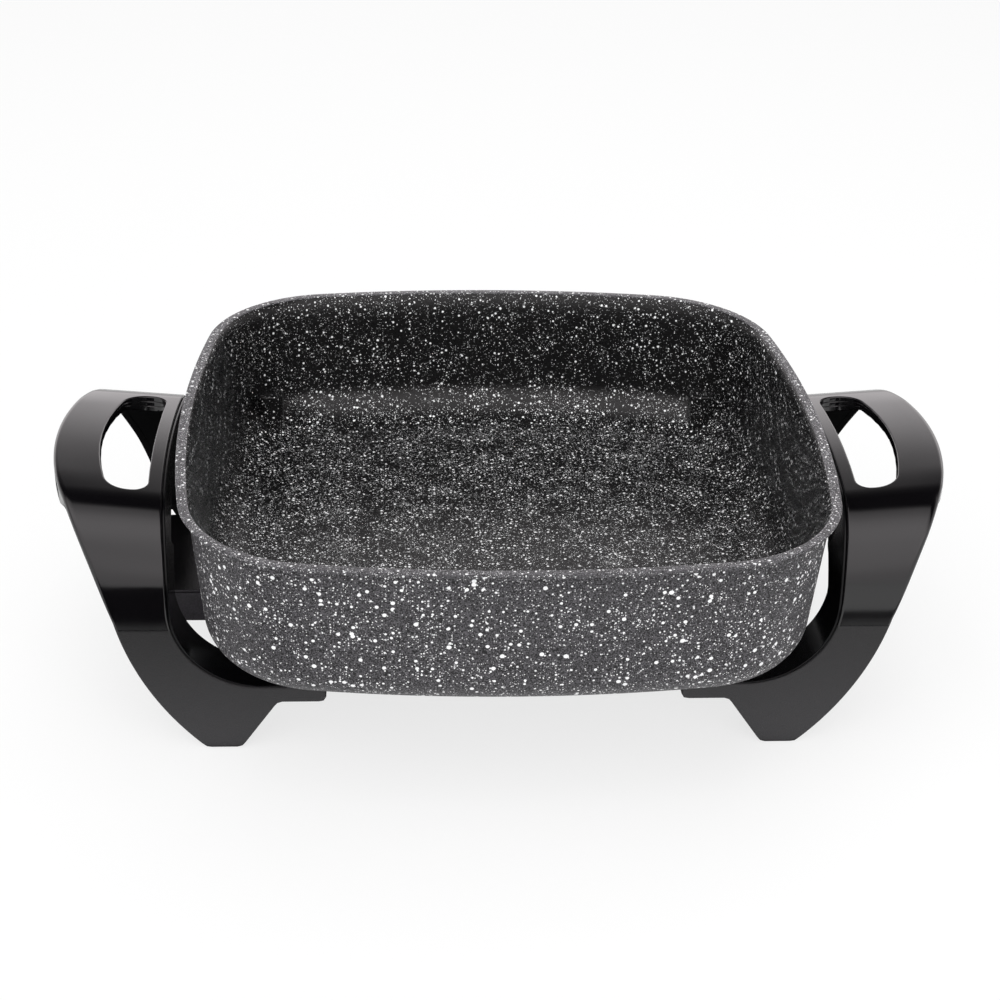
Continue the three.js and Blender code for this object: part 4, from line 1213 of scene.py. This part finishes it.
def makeLiner():
    places = []
    deep = handle["legDepth"]
    for along in archStops(20, 40):
        y, z, turn = archPlace(along)
        depth = Vector((0, -sin(turn), -cos(turn)))
        places.append((Vector((innerEdge(y, z), y, z)), Vector((1, 0, 0)), depth, deep + skirtAt(along)))
    for x, z, awayX, awayZ in evenly(legInnerLine(0), 56)[1:]:
        away = Vector((awayX, 0, awayZ)).normalized()
        places.append((Vector((x, halfSpan, z)), away, Vector((0, -1, 0)), deep))
    front = [(*(flipped(v) for v in row[:3]), row[3]) for row in places[1:]]
    rings = [linerRing(*row) for row in front[::-1] + places]
    piece = makePiece("rightHandleLiner", [loft(rings)], ("linerBlack",), roundSharp)
    cutScrewHoles(piece, roundSharp)
    return piece


def makeHandles():
    # the left handle is the right one turned half round
    halfTurn = Matrix.Rotation(pi, 4, "Z")
    parts = (makeShell(), "Shell", "black_moulding"), (makeLiner(), "Liner", "gloss_black_moulding")
    for right, part, slot in parts:
        left = copyPiece(right, "leftHandle" + part, halfTurn)
        dress(right, slot)
        dress(left, slot)


makeHandles()
print("handles made")

# screws, washers and foot pads

handleScrew = {"shank": 4.6, "head": 9.0, "headHeight": 3.0, "length": 26.6, "headTop": 24.6, "cross": 4.2,
               "crossWidth": 1.1, "crossDepth": 1.8}
guardScrew = {"shank": 3.6, "head": 7.0, "headHeight": 2.4, "length": 8.1, "headTop": 58.9, "cross": 3.4,
              "crossWidth": 0.9, "crossDepth": 1.4}
screwShape = {
    "domeShare": 0.58,  # of the head's height
    "rim": 0.2,
    "neck": 0.6,
    "threadStart": 1.2,
    "pitch": 0.8,
    "threadDepth": 0.3,
    "crest": (0.4, 0.55),  # shares of the pitch where a thread is full
    "tipShare": 0.45,
    "tip": 0.1,
    "crossTaper": 0.35,
    "crossAbove": 1.0,
}


def makeScrew(name, screw):
    # a domed head below, and a threaded shank that stands up from it
    shape = screwShape
    head, shank, long = screw["head"] / 2, screw["shank"] / 2, screw["length"]
    low, dome = -screw["headHeight"], shape["domeShare"]
    profile = [(nearAxis, low)]
    domed = arc(0, 0, 1, 0, quarter, 12)[1:]
    profile += [(head * across, low * (1 - dome + dome * up)) for up, across in domed]
    profile += [(head, -shape["rim"]), (head - shape["rim"], 0), (shank, 0), (shank, shape["neck"])]
    root, pitch, z = shank - shape["threadDepth"], shape["pitch"], shape["threadStart"]
    while z < long - shank:
        profile += [(root, z)] + [(shank, z + pitch * share) for share in shape["crest"]]
        z += pitch
    profile += [(root, z), (shank * shape["tipShare"], long - shape["tip"]), (nearAxis, long)]
    piece = makePiece(name, [loft(lathe(profile, 40))], ("zincPlate",), roundSharp)
    arm, half = screw["cross"] / 2, screw["crossWidth"] / 2
    outline = [(-arm, -half), (-half, -half), (-half, -arm), (half, -arm), (half, -half), (arm, -half),
               (arm, half), (half, half), (half, arm), (-half, arm), (-half, half), (-arm, half)]
    tip = [(x * shape["crossTaper"], y * shape["crossTaper"]) for x, y in outline]
    rings = [level(outline, low - shape["crossAbove"]), level(outline, low)]
    rings += [level(tip, low + screw["crossDepth"])]
    combine(piece, makePiece("cross", [loft(rings)]), sharpAngle=roundSharp)
    return piece


washerShape = {"hole": 2.5, "wide": 5.5, "thick": 1.2, "edge": 0.2, "holeEdge": 0.15, "z": 24.9}


def makeWasher(name):
    hole, wide, thick = (washerShape[key] for key in ("hole", "wide", "thick"))
    edge, soft = washerShape["edge"], washerShape["holeEdge"]
    profile = [(hole, soft), (hole + soft, 0), (wide - edge, 0), (wide, edge), (wide, thick - edge),
               (wide - edge, thick), (hole + soft, thick), (hole, thick - soft)]
    return makePiece(name, [loft(lathe(profile), loop=True)], ("zincPlate",), roundSharp)


padShape = {
    "halfX": 4.0,
    "halfY": 9.0,
    "corner": 3.0,
    "x": 135.0,
    "y": 71.5,
    # how far its outline stands in, by height above the table
    "levels": ((-0.9, 0.0), (-0.55, 0.0), (-0.25, 0.1), (-0.06, 0.3), (0.0, 0.6), (0.0, 2.4), (-0.2, 2.6)),
}


def makePad(name):
    shape = softPrism(0, 0, padShape["halfX"], padShape["halfY"], padShape["corner"], padShape["levels"])
    return makePiece(name, [shape], ("padRubber",), roundSharp)


def turnedBy(degrees):
    return Matrix.Rotation(radians(degrees), 4, "Z")


def makeFastenings():
    screw, washer = makeScrew("screwMaster", handleScrew), makeWasher("washerMaster")
    pad = makePad("padMaster")
    for signX, signY in fourCorners:
        spot = ("Front" if signY < 0 else "Rear") + ("Left" if signX < 0 else "Right")
        x, y = signX * bosses["x"], signY * bosses["y"]
        turned = turnedBy(31 * signX + 17 * signY)  # no two crosses stand alike
        dressCopy(screw, "handleScrew" + spot, "zinc_screw", movedTo(x, y, handleScrew["headTop"]) @ turned)
        dressCopy(washer, "handleWasher" + spot, "zinc_screw", movedTo(x, y, washerShape["z"]))
        x, y = signX * padShape["x"], signY * padShape["y"]
        dressCopy(pad, "footPad" + spot, "black_rubber", movedTo(x, y, 0))
    remove(screw, washer, pad)


makeFastenings()
print("screws, washers and pads made")

# the heating element under the pan

element = {
    "axisZ": 54.7,
    "halfLoop": 77.0,
    "corner": 35.0,
    "leadBend": 20.0,
    "leadY": 15.0,
    "castingWidth": 14.0,
    "castingHeight": 15.0,
    "castingRound": 3.5,
    "castingEdge": 0.6,
    "leadEnd": 122.0,
    "sheathEnd": 124.0,
    "coreEnd": 115.0,
    "sheath": 4.0,
    "sheathWall": 0.9,
    "seat": 0.3,
}


def elementPath(startX, bendSteps=14):
    # in on one lead, round the loop and out on the other: place and heading
    loop, corner = element["halfLoop"], element["corner"]
    leadY, leadBend = element["leadY"], element["leadBend"]
    at = loop - corner
    # its bends: centre, radius, and the quarter turn from and through
    bends = [
        (-loop - leadBend, -leadY - leadBend, leadBend, quarter, -quarter),
        (-at, -at, corner, pi, quarter),
        (at, -at, corner, -quarter, quarter),
        (at, at, corner, 0, quarter),
        (-at, at, corner, quarter, quarter),
        (-loop - leadBend, leadY + leadBend, leadBend, 0, -quarter),
    ]
    made = [(-startX, -leadY, 0.0)]
    for centreX, centreY, radius, start, turn in bends:
        spots = arc(centreX, centreY, radius, start, start + turn, bendSteps)
        # the heading is at right angles to the radius
        made += [(x, y, start + turn * (i / bendSteps + 1)) for i, (x, y) in enumerate(spots)]
    return made + [(-startX, leadY, pi)]


def runAlong(section, startX):
    # section points are (sideways, up)
    rings = []
    axisZ = element["axisZ"]
    for x, y, heading in elementPath(startX):
        side = Vector((sin(heading), -cos(heading)))
        rings.append([(x + side.x * across, y + side.y * across, axisZ + up) for across, up in section])
    return loft(rings)


def makeElement():
    half, high = element["castingWidth"] / 2, element["castingHeight"] / 2
    rounded, edge, sheath = element["castingRound"], element["castingEdge"], element["sheath"]
    core = sheath - element["sheathWall"] - element["seat"]
    casting = [(-half, -high, rounded), (half, -high, rounded), (half, high, edge), (-half, high, edge)]
    parts = [
        ("elementCasting", roundedPoly(casting, 6), "leadEnd", "elementAluminium", "cast_aluminium"),
        ("elementSheath", arc(0, 0, sheath, 0, 2 * pi, 28)[:-1], "sheathEnd", "heatedSteel", "steel_tube"),
        ("elementCore", arc(0, 0, core, 0, 2 * pi, 20)[:-1], "coreEnd", "magnesiaWhite", "magnesia"),
    ]
    for name, section, end, finish, slot in parts:
        dress(makePiece(name, [runAlong(section, element[end])], (finish,), roundSharp), slot)


makeElement()

terminals = {"pin": 2.5, "pinStart": 115.3, "pinLength": 34.0, "tip": 1.2, "foot": 0.1, "spacing": 30.0,
             "seal": 4.0, "sealBore": 2.8, "sealStart": 124.3, "sealLength": 9.0,
             "sleeve": 4.0, "sleeveBore": 3.2, "sleeveLength": 60.0, "sleeveMouth": 131.0}
frontAndRear = (("Front", -1), ("Rear", 1))
toLeft = Matrix.Rotation(-quarter, 4, "Y")
toRight = Matrix.Rotation(quarter, 4, "Y")


def makeTerminals():
    pin, tip, long = terminals["pin"], terminals["tip"], terminals["pinLength"]
    profile = [(nearAxis, 0), (pin, terminals["foot"])]
    profile += [(pin - tip + x, long - tip + y) for x, y in arc(0, 0, tip, 0, quarter, 6)]
    profile += [(nearAxis, long)]
    pinMaster = makePiece("pinMaster", [loft(lathe(profile))], ("nickelPlate",), roundSharp)
    outer, bore, deep = terminals["seal"], terminals["sealBore"], terminals["sealLength"]
    # its edges are worn round, and its outer end is stepped
    ring = [(bore, 0.3), (bore + 0.3, 0), (outer - 0.4, 0), (outer, 0.4), (outer, deep - 2.2),
            (outer - 0.7, deep - 1.2), (outer - 0.9, deep - 0.2), (outer - 1.1, deep), (bore + 0.2, deep),
            (bore, deep - 0.2)]
    sealMaster = makePiece("sealMaster", [loft(lathe(ring), loop=True)], ("bushCeramic",), roundSharp)
    outer, bore, long = terminals["sleeve"], terminals["sleeveBore"], terminals["sleeveLength"]
    # rounded at its mouth only
    ring = [(bore, 0.4), (bore + 0.25, 0.08), (bore + 0.5, 0), (outer - 0.25, 0.06), (outer, 0.35),
            (outer, long), (bore, long)]
    sleeveMaster = makePiece("sleeveMaster", [loft(lathe(ring), loop=True)], ("heatedSteel",), roundSharp)
    def along(start, y):
        return movedTo(-terminals[start], y, element["axisZ"])
    for spot, sign in frontAndRear:
        y = sign * terminals["spacing"] / 2
        dressCopy(pinMaster, "terminalPin" + spot, "plated_pin", along("pinStart", y) @ toLeft)
        dressCopy(sealMaster, "terminalSeal" + spot, "ceramic", along("sealStart", y) @ toLeft)
    dressCopy(sleeveMaster, "probeSleeve", "steel_tube", along("sleeveMouth", 0) @ toRight)
    remove(pinMaster, sealMaster, sleeveMaster)


makeTerminals()
print("element and terminals made")

# the socket guard

guard = {
    "back": 126.0,
    "mouth": 173.0,
    "half": 38.0,
    "top": 62.2,
    "height": 17.8,
    "wall": 3.0,
    "corner": 4.0,
    "earLength": 16.0,
    "earInner": 24.0,
    "earLap": 1.0,
    "screwX": -118.0,
    "screwY": 31.0,
    "screwHole": 4.0,
    "sealHole": 8.6,
    "edge": 0.7,
    "seam": 0.9,
    "seamZ": (60.3, 61.1),
    # upward faces above the next height take the top's black of painted shade
    "shadedTopAbove": 61.3,  # upward faces above this are of the glossy top
    "past": 2.0,  # how far cutters reach past what they cut
}


def guardOutline(grow, backX):
    # rounded at the mouth and square at the back
    half, mouth, corner = (guard[key] + grow for key in ("half", "mouth", "corner"))
    corners = [(-mouth, -half, corner), (-backX, -half, 0), (-backX, half, 0), (-mouth, half, corner)]
    return roundedPoly(corners, 10)


def tunnel(radius, lowX, highX, y, z):
    rings = [[(lowX + along, y + across, z + up) for up, across, along in ring]
             for ring in lathe([(radius, 0), (radius, highX - lowX)], 40)]
    return makePiece("tunnel", [loft(rings)])


def cutSocketHoles(piece):
    # the pins' and the sensor tube's, through the back, and the screws', through the ears
    top, wall, back, past = guard["top"], guard["wall"], guard["back"], guard["past"]
    for side in (-1, 1, 0):
        y = side * terminals["spacing"] / 2
        combine(piece, tunnel(guard["sealHole"] / 2, -back - wall - past, -back + past, y, element["axisZ"]))
        if side:
            radius, centre = guard["screwHole"] / 2, (guard["screwX"], side * guard["screwY"])
            hole = lathe([(radius, top - wall - past), (radius, top + past)], 32, centre)
            combine(piece, makePiece("earHole", [loft(hole)]))


def makeGuard():
    half, top, wall, past = guard["half"], guard["top"], guard["wall"], guard["past"]
    mouth, back, bottom = guard["mouth"], guard["back"], top - guard["height"]
    piece = makePiece("socketGuard", [uprightPrism(guardOutline(0, back), bottom, top)], ("guardGrey",))
    hollow = block(-mouth - past, -back - wall, -half + wall, half - wall, bottom + wall, top - wall)
    combine(piece, makePiece("hollow", [hollow]))
    for side in (-1, 1):
        low, high = sorted((side * guard["earInner"], side * half))
        ear = block(-back - guard["earLap"], guard["earLength"] - back, low, high, top - wall, top)
        combine(piece, makePiece("ear", [ear], ("guardGrey",)), "UNION")
    roundEdges(piece, guard["edge"])
    (low, high), seamBack = guard["seamZ"], back + wall / 2
    outer, inner = guardOutline(past, seamBack), guardOutline(-guard["seam"], seamBack)
    groove = loft([level(outer, low), level(outer, high), level(inner, high), level(inner, low)], loop=True)
    combine(piece, makePiece("seam", [groove]))
    cutSocketHoles(piece)
    # the top's upward faces get the black of painted shade
    piece.data.materials.append(finishes["guardTopBlack"])
    for polygon in piece.data.polygons:
        if polygon.normal.z > 0.5 and polygon.center.z > guard["shadedTopAbove"] * mm:
            polygon.material_index = len(piece.data.materials) - 1
    dress(piece, "dark_moulding")


def makeGuardScrews():
    master = makeScrew("guardScrewMaster", guardScrew)
    for spot, side in frontAndRear:
        move = movedTo(guard["screwX"], side * guard["screwY"], guardScrew["headTop"]) @ turnedBy(23 * side)
        dressCopy(master, "socketGuardScrew" + spot, "zinc_screw", move)
    remove(master)


makeGuard()
makeGuardScrews()
print("socket guard made")

# floor, studio and lights, in metres

studio = {
    "floor": ((-4.5, -4.5, 0.0), (4.5, 4.5, 0.0)),
    "floorColour": (0.92, 0.92, 0.92, 1.0),
    "floorWhite": 0.74,  # how far the seen floor is lifted to the white of the backdrop
    "sideLevel": 0.7,
    "sideFrom": (0.72, 0.95),  # how far sideways a direction has to point for that
    "topRange": 2.5,
    "lean": 0.2,  # turns the bands of light towards the right
    "frontLean": 1.0,  # and more so in front, on the right
    "frontFrom": (115, 95),  # degrees
    "horizon": (0.16, 0.02),  # mirrored white starts and is full this far up
    "tint": (1.03, 0.985, 1.0, 1.0),  # of what the polished faces mirror
    "aim": (0.0, 0.0, 0.1),
    "cardBlack": (0.01, 0.01, 0.01, 1.0),
}
# lamps: place, size, and radiance
lamps = {
    "frontBox": {"place": (-0.2, -1.1, 1.3), "size": (1.5, 0.9), "radiance": 0.9},
    "topBox": {"place": (0.1, 0.0, 1.7), "size": (1.6, 1.4), "radiance": 1.9},
}
# light level by direction: degrees up from the front horizon, over the top and down to the back horizon
skyLevels = [
    (0, 1.15), (10, 1.3), (20, 1.25), (33, 1.45), (46, 1.62), (60, 1.62), (72, 1.4), (82, 1.0), (91, 0.7),
    (96, 0.12), (100, 0.0), (116, 0.01), (126, 0.05), (131, 0.1), (135, 0.15), (138, 0.21), (141, 0.29),
    (144, 0.4), (147, 0.53), (149.5, 0.72), (151.5, 1.0), (153.5, 1.26), (155.8, 1.6), (158, 1.95),
    (162, 2.1), (168, 2.1), (175, 1.5), (180, 1.0),
]
# dark cards that show only as reflections in the polished faces: two stand in front of the legs, one lies
# behind
cards = [
    ((-0.25, -0.188, 0.0), (-0.12, -0.188, 0.086)),
    ((0.15, -0.188, 0.0), (0.30, -0.188, 0.028)),
    ((-0.30, -0.085, 0.0005), (0.30, 0.45, 0.0005)),
]


def clearedTree(owner):
    owner.use_nodes = True
    owner.node_tree.nodes.clear()
    return owner.node_tree


def makeSheet(name, low, high, material):
    # one face between two opposite corners, lying or standing along X
    corners = [low, (high[0], *low[1:]), high, (low[0], *high[1:])]
    sheet = makePiece(name, [([tuple(v / mm for v in corner) for corner in corners], [(0, 1, 2, 3)], [0])])
    sheet.data.materials.append(material)
    return sheet


def makeFloor():
    material = bpy.data.materials.new("palePaper")
    tree = clearedTree(material)
    paper = addNode(tree, "BsdfDiffuse", {"Color": studio["floorColour"]})
    white = addNode(tree, "Emission", {"Color": (1, 1, 1, 1), "Strength": 1.0})
    path = addNode(tree, "LightPath")
    seen = calc(tree, "MAXIMUM", path.outputs["Is Camera Ray"], path.outputs["Is Glossy Ray"])
    seen = calc(tree, "MAXIMUM", seen, path.outputs["Is Transmission Ray"])
    share = calc(tree, "MULTIPLY", seen, studio["floorWhite"])
    mixed = addNode(tree, "MixShader", {0: share, 1: paper.outputs[0], 2: white.outputs[0]})
    addNode(tree, "OutputMaterial", {"Surface": mixed.outputs[0]})
    floor = makeSheet("studioFloor", *studio["floor"], material)


def makeCards():
    material = bpy.data.materials.new("darkCard")
    tree = clearedTree(material)
    black = addNode(tree, "BsdfDiffuse", {"Color": studio["cardBlack"]})
    addNode(tree, "OutputMaterial", {"Surface": black.outputs[0]})
    for i, (low, high) in enumerate(cards):
        piece = makeSheet(f"darkCard{i}", low, high, material)
        piece.visible_camera = False
        piece.visible_diffuse = False
        piece.visible_shadow = False
        piece.visible_transmission = False


def makeWorld():
    world = bpy.data.worlds.new("studioWorld")
    bpy.context.scene.world = world
    tree = clearedTree(world)
    aim = addNode(tree, "SeparateXYZ", {0: addNode(tree, "TexCoord").outputs["Generated"]})
    across, along, up = aim.outputs
    turn = calc(tree, "ARCTAN2", up, calc(tree, "MULTIPLY", along, -1.0))
    frontStart, frontEnd = (radians(angle) for angle in studio["frontFrom"])
    inFront = remap(tree, turn, frontStart, frontEnd, 0.0, studio["frontLean"], smooth=True)
    turn = calc(tree, "ADD", turn, calc(tree, "MULTIPLY", across, studio["lean"]))
    turn = calc(tree, "ADD", turn, calc(tree, "MULTIPLY", calc(tree, "MAXIMUM", across, 0.0), inFront))
    ramp = addNode(tree, "ValToRGB", {0: calc(tree, "DIVIDE", turn, pi, clamp=True)})
    stops = ramp.color_ramp.elements
    stops.remove(stops[1])
    for i, (degrees, level) in enumerate(skyLevels):
        stop = stops[0] if i == 0 else stops.new(degrees / skySpan)
        stop.position = degrees / skySpan
        grey = level / studio["topRange"]
        stop.color = (grey, grey, grey, 1)
    light = calc(tree, "MULTIPLY", ramp.outputs[0], studio["topRange"])
    sideways = remap(tree, calc(tree, "ABSOLUTE", across), *studio["sideFrom"], smooth=True)
    light = blendValue(tree, sideways, light, studio["sideLevel"])
    path = addNode(tree, "LightPath").outputs
    horizon = remap(tree, calc(tree, "ABSOLUTE", up), *studio["horizon"], smooth=True)
    mirrored = calc(tree, "MAXIMUM", path["Is Glossy Ray"], path["Is Transmission Ray"])
    white = calc(tree, "MAXIMUM", path["Is Camera Ray"], calc(tree, "MULTIPLY", mirrored, horizon))
    colour = blendColour(tree, path["Is Glossy Ray"], (1, 1, 1, 1), studio["tint"])
    strength = blendValue(tree, white, light, 1.0)
    background = addNode(tree, "Background", {"Color": colour, "Strength": strength})
    addNode(tree, "OutputWorld", {"Surface": background.outputs[0]})


def makeLamp(name, look):
    lamp = bpy.data.lights.new(name, "AREA")
    lamp.shape = "RECTANGLE"
    lamp.size, lamp.size_y = look["size"]
    lamp.energy = look["radiance"] * pi * lamp.size * lamp.size_y
    placed = addObject(name, lamp)
    placed.location = look["place"]
    aim = Vector(studio["aim"]) - Vector(look["place"])
    placed.rotation_euler = aim.to_track_quat("-Z", "Y").to_euler()
    placed.visible_camera = False
    placed.visible_glossy = False


makeFloor()
makeWorld()
for name, look in lamps.items():
    makeLamp(name, look)
makeCards()
bpy.context.scene.view_settings.view_transform = "Standard"
print("studio made")
